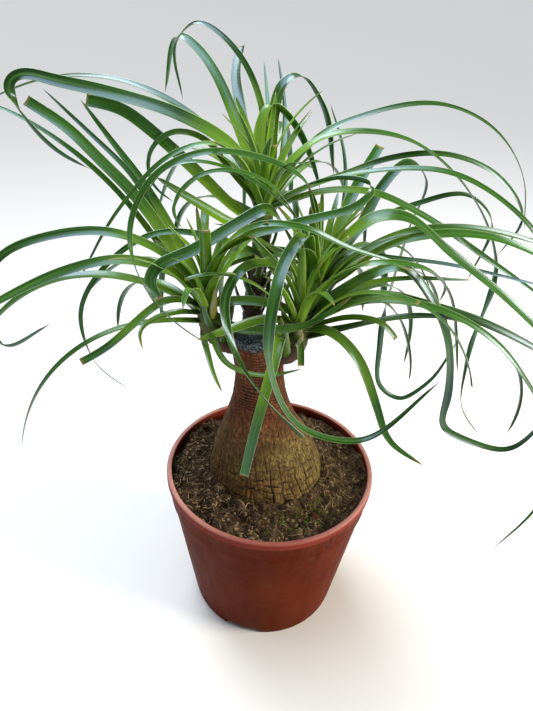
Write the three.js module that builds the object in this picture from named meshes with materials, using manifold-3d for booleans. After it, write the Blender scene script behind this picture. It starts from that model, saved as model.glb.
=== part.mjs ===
// A potted ponytail palm: a swollen bare trunk with four leafy shoots, in a round plastic nursery pot.
// Millimetres, +Z up, +Y away from the viewer. The origin is on the pot's axis, on the surface it stands on.

import * as THREE from 'three';
import { mergeVertices } from 'three/addons/utils/BufferGeometryUtils.js';
import Module from 'manifold-3d';

// Driving dimensions of the pot
const POT_HEIGHT = 141;
const RIM_RADIUS = 85;
const LIP_HEIGHT = 6.5;
const LIP_OVERHANG = 1.6;
const COLLAR_HEIGHT = 17;
const COLLAR_STEP = 1.1;
const FOOT_RADIUS = 65;
const WALL = 1.9;
const FLOOR_UNDERSIDE = 5;
const FLOOR_TOP = 7;
const BOSS_RADIUS = 20;
const FOOT_RING_WIDTH = 6.6;
const POT_SIDES = 36;
const NOTCHES = 4;
const NOTCH_WIDTH = 30;
const NOTCH_HEIGHT = 4.6;
const NOTCH_HEADING = -105;
const DRAIN_HOLES = 8;
const DRAIN_HOLE_RADIUS = 4.5;
const DRAIN_CIRCLE_RADIUS = 38;

// The compost in it
const SOIL_LEVEL = 133;
const SOIL_MOUND = 6;
const SOIL_ROUGHNESS = 0.9;
const SOIL_RINGS = 5;
const SEAT_GAP = 0.3;

// The trunk, from its rounded underside to the sealed cut at the top: height, radius, lean to the left
const TRUNK_SIDES = 30;
const TRUNK_LEVELS = [
  [78, 6, 3],
  [80, 20, 3],
  [87, 33, 3],
  [99, 42, 3],
  [113, 46.5, 3],
  [126, 47.6, 3],
  [138, 46.6, 3.2],
  [150, 43.8, 4.2],
  [162, 40, 5.6],
  [174, 35, 7.6],
  [187, 29.2, 9.2],
  [201, 24, 10.2],
  [214, 20.4, 11],
  [228, 18.6, 11.8],
  [242, 18.6, 12.8],
  [254, 19.2, 14],
  [261, 18.8, 14.8],
  [265.5, 17, 15.2],
  [267, 13, 15.3],
];
const BARK_RELIEF = 0.55;

// Leaves. A blade is a shallow keeled strip, drawn with few faces.
const BLADE_SPANS = 12;
const BLADE_STEP = 2;
const BEND_WEIGHT = 42;
const KEEL_SHARE = 0.15;
const KEEL_LEAST = 0.95;
const TIP_WIDTH = 1.1;
const SHEATH_SPREAD = 0.35;
const TWIST_MOST = 26;
const FACING_TWIST = 45;
const FACING_PLACE = 0.4;
const ROLL_UP_START = 0.65;
const SOFTENING = 18;
const LEVELLING = 60;
const GOLDEN_ANGLE = 137.508;

// The camera of the photograph, worked out from the ellipses of the pot's rim and foot: the picture's size in
// pixels, where it stood, how many degrees it looks down and leans, and its focal length in pixels
const PICTURE_WIDTH = 533;
const PICTURE_HEIGHT = 711;
const CAMERA_PLACE = [-7.1, -331.3, 453.1];
const CAMERA_PITCH = 32.15;
const CAMERA_ROLL = 2.75;
const FOCAL_PIXELS = 534;

// Room is kept in small cubes, so that leaves of different shoots never cross. A leaf that meets another one
// tries a course close by, and then others further off: a hidden leaf turns aside by degrees, and a seen one
// moves along its sight lines by millimetres, so that it still lies where the photograph shows it.
const CUBE = 3;
const CUBES_ACROSS = 1024;
const TRIES = 420;
const TURN_STEP = 1.15;
const SHIFT_STEP = 3;

// Leaves root round this point of a stem's list, a little above it
const ROOT_LEVEL = -3;
const ROOT_LIFT = 4;

const CUT = 1;
const POINTED = 0;

// One leaf that the photograph shows. level is its root's height on the stem. back is how many millimetres
// behind its root the leaf lies at even shares of its course, the last one at its tip, and below zero it lies
// in front. picture is its course as read by eye from the photograph, in pixels from the left and from the
// top; past the picture's edges it is carried on by judgement.
const leaf = (width, end, level, back, ...picture) => ({ width, end, level, back, picture });

// Each shoot: where its stem leaves the trunk and the points it grows through, with the radius there.
// seen: the leaves that the photograph shows.
// unseen: how many more leaves stand on the shoot, and the headings between which the long ones lie.
const SHOOTS = [
  {
    name: 'shoot_left',
    stem: [
      [-26, -1, 250, 5],
      [-37, -1, 254, 6.5],
      [-46, 0, 263, 7.5],
      [-50, 0, 277, 7],
      [-50, 0, 292, 5.5],
      [-50, 0, 304, 2.5],
    ],
    seen: [
      leaf(9, CUT, 0, [45], [190, 285], [161, 230], [132, 192], [98, 158], [69, 129], [26, 100]),
      leaf(7, POINTED, 0, [60], [195, 280], [172, 230], [143, 182], [115, 145], [80, 99]),
      leaf(5, POINTED, 0, [55], [170, 244], [132, 175], [92, 135], [42, 88]),
      leaf(5, POINTED, 0, [40], [190, 290], [149, 230], [121, 195], [57, 139], [0, 107], [-50, 93]),
      leaf(7, POINTED, 6, [-30, -50, -60], [165, 254], [112, 232], [52, 235], [0, 256], [-20, 290], [0, 344],
        [52, 323]),
      leaf(8, POINTED, 0, [-70], [189, 283], [164, 268], [121, 259], [69, 269], [0, 300], [-60, 336]),
      leaf(6, CUT, -4, [-60], [200, 309], [181, 299], [164, 300], [146, 313], [103, 350], [81, 362]),
      leaf(5, POINTED, -4, [-42], [201, 314], [181, 311], [155, 318], [138, 330], [143, 350]),
      leaf(5, POINTED, -12, [-25], [203, 326], [207, 349], [213, 373], [222, 392]),
      leaf(5, POINTED, -12, [-28, -38, -34], [212, 335], [224, 362], [265, 376], [302, 369]),
      leaf(7, CUT, -2, [30], [206, 283], [219, 269], [259, 255], [306, 255]),
      leaf(7, POINTED, 6, [-25, -20, 10], [215, 260], [239, 240], [300, 222], [369, 197], [376, 187],
        [345, 177], [303, 186]),
      leaf(8, POINTED, -4, [-30], [240, 330], [276, 330], [305, 326], [352, 297]),
      leaf(8, CUT, -2, [-8], [207, 310], [235, 301], [270, 303], [290, 310]),
      leaf(8, POINTED, 6, [10, 15], [212, 272], [230, 258], [252, 251], [285, 250], [320, 261]),
      leaf(5, POINTED, 2, [-16, 0], [204, 285], [214, 260], [236, 234], [264, 223], [300, 226], [350, 248],
        [405, 264]),
    ],
    unseen: 10,
    longFrom: 60,
    longTo: 215,
  },
  {
    name: 'shoot_back',
    stem: [
      [-18, 17, 250, 7],
      [-19, 25, 262, 8],
      [-18, 35, 283, 7],
      [-15, 41, 312, 6.5],
      [-14, 42, 335, 7],
      [-14, 42, 352, 5],
      [-14, 42, 364, 2.5],
    ],
    seen: [
      leaf(11, POINTED, 0, [5, 0, -15], [235, 150], [180, 115], [115, 94], [57, 81], [15, 74], [6, 83],
        [17, 106], [57, 151], [90, 169]),
      leaf(6, POINTED, 8, [70], [245, 168], [180, 106], [138, 85], [69, 75], [0, 94], [-34, 114]),
      leaf(10, CUT, -14, [10], [235, 209], [200, 175], [154, 133], [120, 108], [86, 100]),
      leaf(9, POINTED, 4, [100], [248, 152], [232, 110], [215, 72], [198, 48], [181, 34], [165, 93]),
      leaf(5, POINTED, 4, [70], [262, 107], [250, 72], [215, 29], [198, 20], [176, 40], [183, 100]),
      leaf(10, CUT, -2, [140], [255, 190], [241, 110], [236, 69], [241, 46]),
      leaf(9, POINTED, 0, [60], [270, 170], [275, 107], [283, 81], [298, 73], [321, 101], [334, 175]),
      leaf(9, POINTED, 6, [35], [262, 120], [270, 101], [286, 113], [307, 147], [320, 188]),
      leaf(5, POINTED, 0, [110], [268, 190], [269, 121], [264, 60]),
      leaf(5, POINTED, 0, [120], [275, 190], [283, 150], [285, 110], [278, 57]),
      leaf(10, CUT, 0, [80], [268, 203], [268, 142], [263, 103]),
      leaf(4, POINTED, 8, [-15], [229, 170], [206, 172], [189, 183], [172, 215], [184, 230]),
      leaf(4, POINTED, 0, [-35], [226, 145], [200, 143], [177, 151], [121, 206], [78, 282]),
      leaf(5, POINTED, 0, [5], [229, 169], [206, 139], [172, 131], [149, 152], [153, 186], [174, 202]),
      leaf(7, POINTED, 8, [20], [281, 172], [327, 135], [362, 131], [408, 139], [460, 179], [496, 259],
        [467, 360], [462, 409], [482, 439]),
      leaf(5, POINTED, 6, [50], [285, 175], [324, 132], [364, 115], [443, 104], [495, 129], [523, 174],
        [524, 234]),
      leaf(5, POINTED, 0, [25], [300, 190], [347, 173], [382, 160], [447, 154], [505, 182], [523, 221],
        [496, 257]),
      leaf(5, POINTED, -4, [-50], [270, 223], [310, 228], [364, 252], [447, 264], [560, 290]),
      leaf(6, POINTED, 0, [-10], [330, 190], [373, 192], [421, 214], [485, 257], [580, 325]),
      leaf(5, POINTED, 0, [-30, -70, -110], [300, 190], [380, 170], [450, 172], [520, 215], [575, 380],
        [533, 512], [489, 552]),
      leaf(9, POINTED, -16, [-20], [235, 226], [215, 214], [180, 192], [156, 177]),
    ],
    unseen: 9,
    longFrom: 40,
    longTo: 165,
  },
  {
    name: 'shoot_right_back',
    stem: [
      [-1, 11, 252, 5.5],
      [10, 14, 258, 7],
      [21, 18, 269, 7.5],
      [26, 20, 283, 7],
      [26, 20, 298, 5.5],
      [26, 20, 310, 2.5],
    ],
    seen: [
      leaf(10, CUT, 0, [-45], [300, 260], [280, 220], [270, 207], [246, 219], [192, 251], [150, 274],
        [148, 283], [158, 300]),
      leaf(8, POINTED, 0, [-75, -80, -60], [310, 262], [306, 232], [285, 260], [276, 291], [269, 331],
        [269, 363], [300, 427], [359, 441], [442, 380]),
      leaf(7, CUT, 0, [-50, -75, -90], [276, 265], [260, 262], [243, 267], [225, 296], [230, 340], [265, 399],
        [303, 438]),
      leaf(5, POINTED, 0, [-40], [300, 222], [268, 190], [232, 169], [185, 161], [160, 171], [148, 192]),
      leaf(4, POINTED, 0, [-45], [297, 218], [265, 180], [228, 169], [197, 175], [172, 207], [180, 228]),
      leaf(5, POINTED, 0, [160], [325, 265], [344, 203], [344, 152], [330, 103]),
      leaf(5, POINTED, 0, [-20, -50, -60], [300, 175], [252, 155], [200, 152], [154, 175], [129, 232],
        [146, 290], [189, 333], [217, 349]),
      leaf(5, POINTED, 0, [-55], [270, 259], [224, 240], [155, 233], [112, 259], [80, 314], [96, 364],
        [133, 392]),
      leaf(8, POINTED, 0, [70, 70, 60], [335, 260], [365, 218], [382, 186], [413, 161], [426, 175],
        [408, 231], [380, 345], [382, 389], [399, 399], [425, 385], [460, 337]),
      leaf(10, CUT, 0, [85], [330, 255], [349, 202], [366, 169], [380, 146]),
      leaf(5, POINTED, 6, [50], [340, 250], [375, 220], [413, 205], [470, 195], [492, 218], [466, 283]),
      leaf(11, POINTED, 2, [-20], [338, 247], [356, 228], [382, 215], [401, 215], [447, 250], [533, 324],
        [605, 420]),
      leaf(8, POINTED, 0, [20], [342, 276], [382, 247], [421, 236], [492, 237], [533, 252], [600, 300]),
      leaf(6, POINTED, 2, [45], [350, 260], [408, 231], [447, 227], [533, 241], [580, 262]),
      leaf(5, POINTED, 0, [-15], [380, 262], [417, 265], [446, 288], [439, 302]),
    ],
    unseen: 10,
    longFrom: 25,
    longTo: 125,
  },
  {
    name: 'shoot_right_front',
    stem: [
      [0, -8, 250, 5.5],
      [7, -9, 253, 8],
      [12, -8, 260, 8.5],
      [14, -8, 271, 7.5],
      [14, -8, 286, 5.5],
      [14, -8, 298, 2.5],
    ],
    seen: [
      leaf(8, CUT, -2, [-40, -55, -62], [283, 330], [276, 355], [262, 405], [251, 446], [244, 476]),
      leaf(8, POINTED, 2, [-28], [265, 319], [234, 328], [197, 340]),
      leaf(8, POINTED, 0, [-20], [370, 275], [400, 265], [427, 292], [444, 325], [448, 396], [442, 426],
        [469, 441], [505, 450], [560, 405]),
      leaf(8, POINTED, 0, [-15], [347, 302], [382, 295], [425, 304], [469, 317], [533, 347], [600, 395]),
      leaf(6, POINTED, 0, [-40], [370, 300], [442, 310], [496, 342], [533, 391], [560, 440]),
      leaf(8, POINTED, -3, [-50], [306, 330], [319, 328], [335, 334], [356, 355], [376, 404], [389, 441],
        [424, 466]),
      leaf(5, CUT, -2, [-10], [320, 324], [346, 317], [386, 325], [396, 339]),
      leaf(6, POINTED, 2, [60], [302, 320], [341, 289], [377, 271], [410, 264]),
      leaf(5, POINTED, 0, [35], [357, 286], [386, 280], [472, 280]),
      leaf(6, CUT, -10, [-16], [297, 330], [300, 340], [301, 366]),
    ],
    unseen: 8,
    longFrom: -30,
    longTo: 70,
  },
];

const wasm = await Module();
wasm.setup();

const radians = THREE.MathUtils.degToRad;

/** A number between 0 and 1 that looks random but is the same every time. */
function chance(index, salt) {
  const wave = Math.sin(index * 12.9898 + salt * 78.233) * 43758.5453;
  return wave - Math.floor(wave);
}

/** Eases from 0 to 1. */
function ease(t) {
  const held = Math.min(Math.max(t, 0), 1);
  return held * held * (3 - 2 * held);
}

/** Turns a closed geometry into a solid that can be cut and joined. */
function toSolid(geometry) {
  const bare = geometry.clone();
  bare.deleteAttribute('normal');
  bare.deleteAttribute('uv');
  const merged = mergeVertices(bare, 1e-4);
  const corners = [];
  const index = merged.index.array;
  for (let i = 0; i < index.length; i += 3) {
    const [a, b, c] = [index[i], index[i + 1], index[i + 2]];
    if (a !== b && b !== c && a !== c) corners.push(a, b, c);
  }
  return new wasm.Manifold(new wasm.Mesh({
    numProp: 3,
    vertProperties: new Float32Array(merged.attributes.position.array),
    triVerts: new Uint32Array(corners),
  }));
}

/** Turns a solid back into a geometry. */
function toGeometry(solid) {
  const { vertProperties, triVerts } = solid.getMesh();
  const geometry = new THREE.BufferGeometry();
  geometry.setAttribute('position', new THREE.BufferAttribute(vertProperties, 3));
  geometry.setIndex(new THREE.BufferAttribute(triVerts, 1));
  geometry.computeVertexNormals();
  return geometry;
}

/** Closes a stack of rings, each with as many points, into one skin with a flat cap at both ends. */
function skin(rings) {
  const sides = rings[0].length;
  const positions = rings.flat().flatMap((p) => [p.x, p.y, p.z]);
  const index = [];
  for (let i = 0; i + 1 < rings.length; i += 1) {
    for (let j = 0; j < sides; j += 1) {
      const k = (j + 1) % sides;
      const [a, b] = [i * sides + j, i * sides + k];
      index.push(a, b, b + sides, a, b + sides, a + sides);
    }
  }
  const top = (rings.length - 1) * sides;
  for (let j = 1; j + 1 < sides; j += 1) {
    index.push(0, j + 1, j);
    index.push(top, top + j, top + j + 1);
  }
  const geometry = new THREE.BufferGeometry();
  geometry.setAttribute('position', new THREE.Float32BufferAttribute(positions, 3));
  geometry.setIndex(index);
  return geometry;
}

/** A profile of [radius, height] points turned about the Z axis. */
function turned(profile, sides) {
  const points = profile.map(([r, z]) => new THREE.Vector2(r, z));
  return new THREE.LatheGeometry(points, sides).rotateX(Math.PI / 2);
}

function finish(colour, roughness) {
  return new THREE.MeshStandardMaterial({ color: colour, roughness, metalness: 0 });
}

/** Radius of the pot's outer wall at a height below the lip. */
function potOuterRadius(z) {
  const collarFoot = POT_HEIGHT - LIP_HEIGHT - COLLAR_HEIGHT;
  const wallTop = RIM_RADIUS - LIP_OVERHANG;
  const collarBottom = wallTop - 1;
  const lipFoot = POT_HEIGHT - LIP_HEIGHT;
  if (z >= collarFoot) return THREE.MathUtils.mapLinear(z, collarFoot, lipFoot, collarBottom, wallTop);
  return THREE.MathUtils.mapLinear(z, 0, collarFoot, FOOT_RADIUS, collarBottom - COLLAR_STEP);
}

/** The moulded pot: a tapering wall under a rolled lip, on a notched foot ring, with drain holes. */
function makePot() {
  const lipBottom = POT_HEIGHT - LIP_HEIGHT;
  const collarFoot = lipBottom - COLLAR_HEIGHT;
  const footInside = FOOT_RADIUS - FOOT_RING_WIDTH;
  const profile = [
    [0, 0],
    [BOSS_RADIUS, 0],
    [BOSS_RADIUS, FLOOR_UNDERSIDE],
    [footInside, FLOOR_UNDERSIDE],
    [footInside, 0],
    [FOOT_RADIUS - 1.6, 0],
    [FOOT_RADIUS - 0.4, 0.5],
    [potOuterRadius(1.6), 1.6],
    [potOuterRadius(collarFoot - 1), collarFoot - 1],
    [potOuterRadius(collarFoot), collarFoot],
    [potOuterRadius(lipBottom), lipBottom],
    [RIM_RADIUS - 0.6, lipBottom],
    [RIM_RADIUS, lipBottom + 0.9],
    [RIM_RADIUS, POT_HEIGHT - 1.4],
    [RIM_RADIUS - 0.5, POT_HEIGHT - 0.4],
    [RIM_RADIUS - 1.5, POT_HEIGHT],
    [RIM_RADIUS - 2.8, POT_HEIGHT],
    [RIM_RADIUS - 3.9, POT_HEIGHT - 0.7],
    [potOuterRadius(lipBottom) - WALL, lipBottom],
    [potOuterRadius(collarFoot) - WALL, collarFoot],
    [potOuterRadius(collarFoot - 1) - WALL, collarFoot - 2],
    [potOuterRadius(FLOOR_TOP) - WALL, FLOOR_TOP + 1.5],
    [potOuterRadius(FLOOR_TOP) - WALL - 1.5, FLOOR_TOP],
    [0, FLOOR_TOP],
  ];
  let pot = toSolid(turned(profile, POT_SIDES));
  for (let i = 0; i < NOTCHES; i += 1) {
    const heading = radians(NOTCH_HEADING + (i * 360) / NOTCHES);
    const notch = new THREE.BoxGeometry(FOOT_RING_WIDTH * 4, NOTCH_WIDTH, NOTCH_HEIGHT * 2).rotateZ(heading);
    notch.translate(FOOT_RADIUS * Math.cos(heading), FOOT_RADIUS * Math.sin(heading), 0);
    pot = pot.subtract(toSolid(notch));
  }
  for (let i = 0; i < DRAIN_HOLES; i += 1) {
    const heading = ((i + 0.5) / DRAIN_HOLES) * Math.PI * 2;
    const hole = new THREE.CylinderGeometry(DRAIN_HOLE_RADIUS, DRAIN_HOLE_RADIUS, FLOOR_TOP * 2, 12);
    hole.rotateX(Math.PI / 2);
    const reach = DRAIN_CIRCLE_RADIUS;
    hole.translate(reach * Math.cos(heading), reach * Math.sin(heading), FLOOR_TOP);
    pot = pot.subtract(toSolid(hole));
  }
  return pot;
}

/** The trunk's surface: rings that lean to the left, with shallow ribs of bark that fade towards the neck. */
function makeTrunk(grown) {
  const rings = TRUNK_LEVELS.map(([z, radius, lean], level) => {
    const ring = [];
    for (let j = 0; j < TRUNK_SIDES; j += 1) {
      const heading = (j / TRUNK_SIDES) * Math.PI * 2;
      const ribs = Math.sin(heading * 9 + level * 1.9) + 0.6 * Math.sin(heading * 14 - level * 1.3);
      const r = radius + grown + (BARK_RELIEF * ribs * Math.min(radius, 40)) / 40;
      ring.push(new THREE.Vector3(r * Math.cos(heading) - lean, r * Math.sin(heading), z));
    }
    return ring;
  });
  for (const point of rings[0]) point.z -= grown;
  for (const point of rings.at(-1)) point.z += grown;
  return toSolid(skin(rings));
}

/** Height of the compost: a low mound round the trunk, a little rough. */
function soilHeight(x, y) {
  const mound = SOIL_MOUND * (1 - ease((Math.hypot(x + 3, y) - 44) / 22));
  const rough = Math.sin(x * 0.31 + 1.7) * Math.cos(y * 0.27) + 0.6 * Math.sin(x * 0.13 - y * 0.19);
  return SOIL_LEVEL + mound + SOIL_ROUGHNESS * rough;
}

/** The compost: it fills the pot and has a plain hole for the trunk. */
function makeSoil(trunkHole) {
  const floor = FLOOR_TOP + SEAT_GAP;
  const inside = (z) => potOuterRadius(z) - WALL - SEAT_GAP;
  const collarFoot = POT_HEIGHT - LIP_HEIGHT - COLLAR_HEIGHT;
  const profile = [[0, floor], [inside(FLOOR_TOP) - 2.2, floor], [inside(FLOOR_TOP) - 0.3, floor + 2.4]];
  profile.push([inside(collarFoot - 1) - 0.1, collarFoot - 2.5], [inside(collarFoot) - 0.1, collarFoot]);
  for (let i = 0; i <= SOIL_RINGS; i += 1) {
    profile.push([(inside(SOIL_LEVEL) - 0.2) * (1 - i / SOIL_RINGS), SOIL_LEVEL]);
  }
  const geometry = turned(profile, POT_SIDES);
  const position = geometry.attributes.position;
  for (let i = 0; i < position.count; i += 1) {
    if (Math.abs(position.getZ(i) - SOIL_LEVEL) > 0.01) continue;
    position.setZ(i, soilHeight(position.getX(i), position.getY(i)));
  }
  return toSolid(geometry).subtract(trunkHole);
}

const cameraPlace = new THREE.Vector3(...CAMERA_PLACE);
const cameraAhead = new THREE.Vector3(0, Math.cos(radians(CAMERA_PITCH)), -Math.sin(radians(CAMERA_PITCH)));
const cameraRight = new THREE.Vector3(1, 0, 0).applyAxisAngle(cameraAhead, -radians(CAMERA_ROLL));
const cameraUp = cameraRight.clone().cross(cameraAhead);

/** Where a point in space shows in the picture: pixels from the left and from the top. */
function toPicture(point) {
  const away = point.clone().sub(cameraPlace);
  const scale = FOCAL_PIXELS / away.dot(cameraAhead);
  return [PICTURE_WIDTH / 2 + away.dot(cameraRight) * scale, PICTURE_HEIGHT / 2 - away.dot(cameraUp) * scale];
}

/** The point at the given y on the sight line through a pixel. */
function onSightLine([across, down], y) {
  const line = cameraAhead.clone();
  line.addScaledVector(cameraRight, (across - PICTURE_WIDTH / 2) / FOCAL_PIXELS);
  line.addScaledVector(cameraUp, (PICTURE_HEIGHT / 2 - down) / FOCAL_PIXELS);
  return cameraPlace.clone().addScaledVector(line, (y - cameraPlace.y) / line.y);
}

/** Running total of the distances between points that follow one another. */
function runOf(points, distance) {
  const run = [0];
  for (let i = 1; i < points.length; i += 1) run.push(run[i - 1] + distance(points[i - 1], points[i]));
  return run;
}

/** The value at a share from 0 to 1 of a list whose values stand at even shares. */
function valueAt(values, share) {
  const place = share * (values.length - 1);
  const i = Math.min(Math.floor(place), values.length - 2);
  return THREE.MathUtils.lerp(values[i], values[i + 1], place - i);
}

/** A smooth curve through points, in short steps: cubics whose end slopes follow from the neighbours. */
function smoothCurve(knots) {
  const run = runOf(knots, (a, b) => a.distanceTo(b));
  const last = knots.length - 1;
  const slopes = knots.map((knot, i) => {
    if (i === 0) return knots[1].clone().sub(knot).divideScalar(run[1]);
    if (i === last) return knot.clone().sub(knots[i - 1]).divideScalar(run[i] - run[i - 1]);
    const [before, after] = [run[i] - run[i - 1], run[i + 1] - run[i]];
    const slope = knots[i - 1].clone().multiplyScalar(-after / (before * (before + after)));
    slope.addScaledVector(knot, (after - before) / (after * before));
    return slope.addScaledVector(knots[i + 1], before / (after * (before + after)));
  });
  const steps = Math.ceil(run[last] / BLADE_STEP);
  return Array.from({ length: steps + 1 }, (_, step) => {
    const place = (run[last] * step) / steps;
    const k = Math.min(last - 1, Math.max(0, run.findLastIndex((r) => r <= place)));
    const gap = run[k + 1] - run[k];
    const t = (place - run[k]) / gap;
    const point = knots[k].clone().lerp(knots[k + 1], t * t * (3 - 2 * t));
    point.addScaledVector(slopes[k], (t ** 3 - 2 * t ** 2 + t) * gap);
    return point.addScaledVector(slopes[k + 1], (t ** 3 - t ** 2) * gap);
  });
}

/** Evens out a row of vectors: each becomes the mean of itself and its neighbours, many times over. */
function soften(vectors, passes, holdEnds) {
  let soft = vectors;
  for (let pass = 0; pass < passes; pass += 1) {
    soft = soft.map((vector, i) => {
      if (holdEnds && (i === 0 || i === soft.length - 1)) return vector;
      const [before, after] = [soft[Math.max(0, i - 1)], soft[Math.min(soft.length - 1, i + 1)]];
      return before.clone().add(after).addScaledVector(vector, 2).multiplyScalar(0.25);
    });
  }
  return soft;
}

/** The course of a leaf that the photograph shows, laid back along its sight lines by the leaf's own
 * distances, and by a shift that grows to the tip and a bow that is largest half way. */
function tracedPoints(leaf, root, shift, bow) {
  const marks = [toPicture(root), ...leaf.picture];
  const run = runOf(marks, (a, b) => Math.hypot(b[0] - a[0], b[1] - a[1]));
  const back = [0, ...leaf.back];
  const knots = marks.map((mark, i) => {
    const share = run[i] / run.at(-1);
    return onSightLine(mark, root.y + valueAt(back, share) + shift * share + bow * Math.sin(Math.PI * share));
  });
  return soften(smoothCurve(knots), SOFTENING, true);
}

/** The course of a hidden leaf: short steps from its root, whose slope and heading change as it goes. */
function ruledPoints(leaf, root) {
  const steps = Math.ceil(leaf.length / BLADE_STEP);
  const points = [root];
  for (let i = 0; i < steps; i += 1) {
    const s = (i + 0.5) / steps;
    const rollUp = Math.max(0, (s - ROLL_UP_START) / (1 - ROLL_UP_START)) ** 2;
    const bent = ease((s - leaf.bend) / leaf.spread + 0.5);
    const slope = radians(leaf.rise + (leaf.fall - leaf.rise) * bent + leaf.curl * rollUp);
    const heading = radians(leaf.heading + leaf.turn * s * s);
    const along = new THREE.Vector3(
      Math.cos(slope) * Math.cos(heading),
      Math.cos(slope) * Math.sin(heading),
      Math.sin(slope),
    );
    points.push(points.at(-1).clone().addScaledVector(along, leaf.length / steps));
  }
  return points;
}

/** A course with its directions: along it, and level across it. Where the course is steep, the level line
 * follows from the stretches before and after, and it never turns over. */
function courseOf(points) {
  const alongs = points.slice(1).map((point, i) => point.clone().sub(points[i]).normalize());
  let side = 1;
  const levels = alongs.map((along, i) => {
    const before = alongs[Math.max(0, i - 1)];
    if (along.x * before.x + along.y * before.y < 0) side = -side;
    return new THREE.Vector3(-along.y * side, along.x * side, 0);
  });
  const acrosses = soften(levels, LEVELLING, false).map((level, i) => {
    return level.addScaledVector(alongs[i], -level.dot(alongs[i])).normalize();
  });
  return { points, alongs, acrosses, steps: alongs.length };
}

/** Where the blade's spans end: close together where the leaf bends, and far apart where it runs straight. */
function spanEnds(course) {
  const reach = [0];
  for (let i = 1; i < course.steps; i += 1) {
    const bent = course.alongs[i].angleTo(course.alongs[i - 1]);
    reach.push(reach.at(-1) + BLADE_STEP + BEND_WEIGHT * bent);
  }
  reach.push(reach.at(-1) + BLADE_STEP);
  const ends = [];
  for (let k = 0; k <= BLADE_SPANS; k += 1) {
    const wanted = (reach.at(-1) * k) / BLADE_SPANS;
    const found = reach.findIndex((r) => r >= wanted - 1e-9);
    ends.push(found < 0 ? course.steps : found);
  }
  return ends;
}

/** Width of a blade at a share of its length: a wide sheath, a long even strip, then a fine or cut tip. */
function bladeWidth(leaf, s) {
  const sheath = 1 + SHEATH_SPREAD * Math.max(0, 1 - s / 0.14);
  if (leaf.end === CUT) return leaf.width * sheath * (1 - 0.22 * s);
  return Math.max(TIP_WIDTH, leaf.width * sheath * Math.sqrt(Math.max(0, 1 - s ** 1.6)));
}

/** Directions across a blade and out of its upper face at a step of its course, with its slow twist. */
function bladeAxes(course, leaf, step) {
  const i = Math.min(step, course.steps - 1);
  const along = course.alongs[i];
  const twist = (radians(leaf.twist) * step) / course.steps;
  const across = course.acrosses[i].clone().applyAxisAngle(along, twist);
  return { across, out: along.clone().cross(across) };
}

/** One blade: a three-sided strip with a keel below, carried along its course. */
function makeBlade(leaf, course) {
  const rings = spanEnds(course).map((step) => {
    const { across, out } = bladeAxes(course, leaf, step);
    const width = bladeWidth(leaf, step / course.steps);
    const keel = Math.max(KEEL_LEAST, width * KEEL_SHARE);
    const middle = course.points[step];
    return [
      middle.clone().addScaledVector(across, width / 2),
      middle.clone().addScaledVector(across, -width / 2),
      middle.clone().addScaledVector(out, -keel),
    ];
  });
  return toSolid(skin(rings));
}

const room = new Map();

/** The cube that a point lies in, as one whole number. */
function cubeOf(x, y, z) {
  const [i, j, k] = [x, y, z].map((value) => Math.floor(value / CUBE) + CUBES_ACROSS / 2);
  return (i * CUBES_ACROSS + j) * CUBES_ACROSS + k;
}

/** The cubes that a blade passes through, along its true course and along the straight spans drawn for it. */
function bladeCubes(leaf, course) {
  const cubes = new Set();
  const take = (middle, step) => {
    const { across, out } = bladeAxes(course, leaf, step);
    const half = bladeWidth(leaf, step / course.steps) / 2 + 0.3;
    for (let side = -2; side <= 2; side += 1) {
      for (const lift of [0.5, -0.7, -1.9]) {
        const p = middle.clone().addScaledVector(across, (half * side) / 2).addScaledVector(out, lift);
        cubes.add(cubeOf(p.x, p.y, p.z));
      }
    }
  };
  course.points.forEach((middle, step) => take(middle, step));
  const ends = spanEnds(course);
  for (let k = 0; k + 1 < ends.length; k += 1) {
    const [from, to] = [ends[k], ends[k + 1]];
    for (let step = from; step < to; step += 1) {
      take(course.points[from].clone().lerp(course.points[to], (step - from) / (to - from)), step);
    }
  }
  return cubes;
}

/** Finds the first course, on a spiral of widening tries, that passes clear of every other shoot. */
function findRoom(leaf, root, owner) {
  for (let attempt = 0; attempt < TRIES; attempt += 1) {
    const size = Math.sqrt(attempt);
    const side = attempt * radians(GOLDEN_ANGLE);
    const [one, other] = [size * Math.cos(side), size * Math.sin(side)];
    const course = courseOf(leaf.picture
      ? tracedPoints(leaf, root, SHIFT_STEP * one, SHIFT_STEP * other)
      : ruledPoints(turnedAside(leaf, TURN_STEP * one, TURN_STEP * other), root));
    const cubes = bladeCubes(leaf, course);
    let free = true;
    for (const cube of cubes) {
      const holder = room.get(cube);
      if (holder !== undefined && holder !== owner) {
        free = false;
        break;
      }
    }
    if (!free) continue;
    for (const cube of cubes) room.set(cube, owner);
    return { leaf, course };
  }
  return null;
}

/** A hidden leaf turned sideways and upwards by angles. */
function turnedAside(leaf, sideways, upwards) {
  return { ...leaf, heading: leaf.heading + sideways, rise: leaf.rise + upwards, fall: leaf.fall + upwards };
}

/** Books the cubes round a stack of [x, y, z, radius] levels. */
function bookRound(levels, owner) {
  for (let i = 0; i + 1 < levels.length; i += 1) {
    const [from, to] = [levels[i], levels[i + 1]];
    const steps = Math.ceil(Math.hypot(to[0] - from[0], to[1] - from[1], to[2] - from[2]));
    for (let step = 0; step <= steps; step += 1) {
      const [x, y, z, r] = from.map((value, n) => value + ((to[n] - value) * step) / steps);
      for (let k = 0; k < 48; k += 1) {
        const heading = (k / 48) * Math.PI * 2;
        for (const share of [0.4, 0.7, 1]) {
          const reach = (r + 0.6) * share;
          room.set(cubeOf(x + reach * Math.cos(heading), y + reach * Math.sin(heading), z), owner);
        }
      }
    }
  }
}

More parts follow.
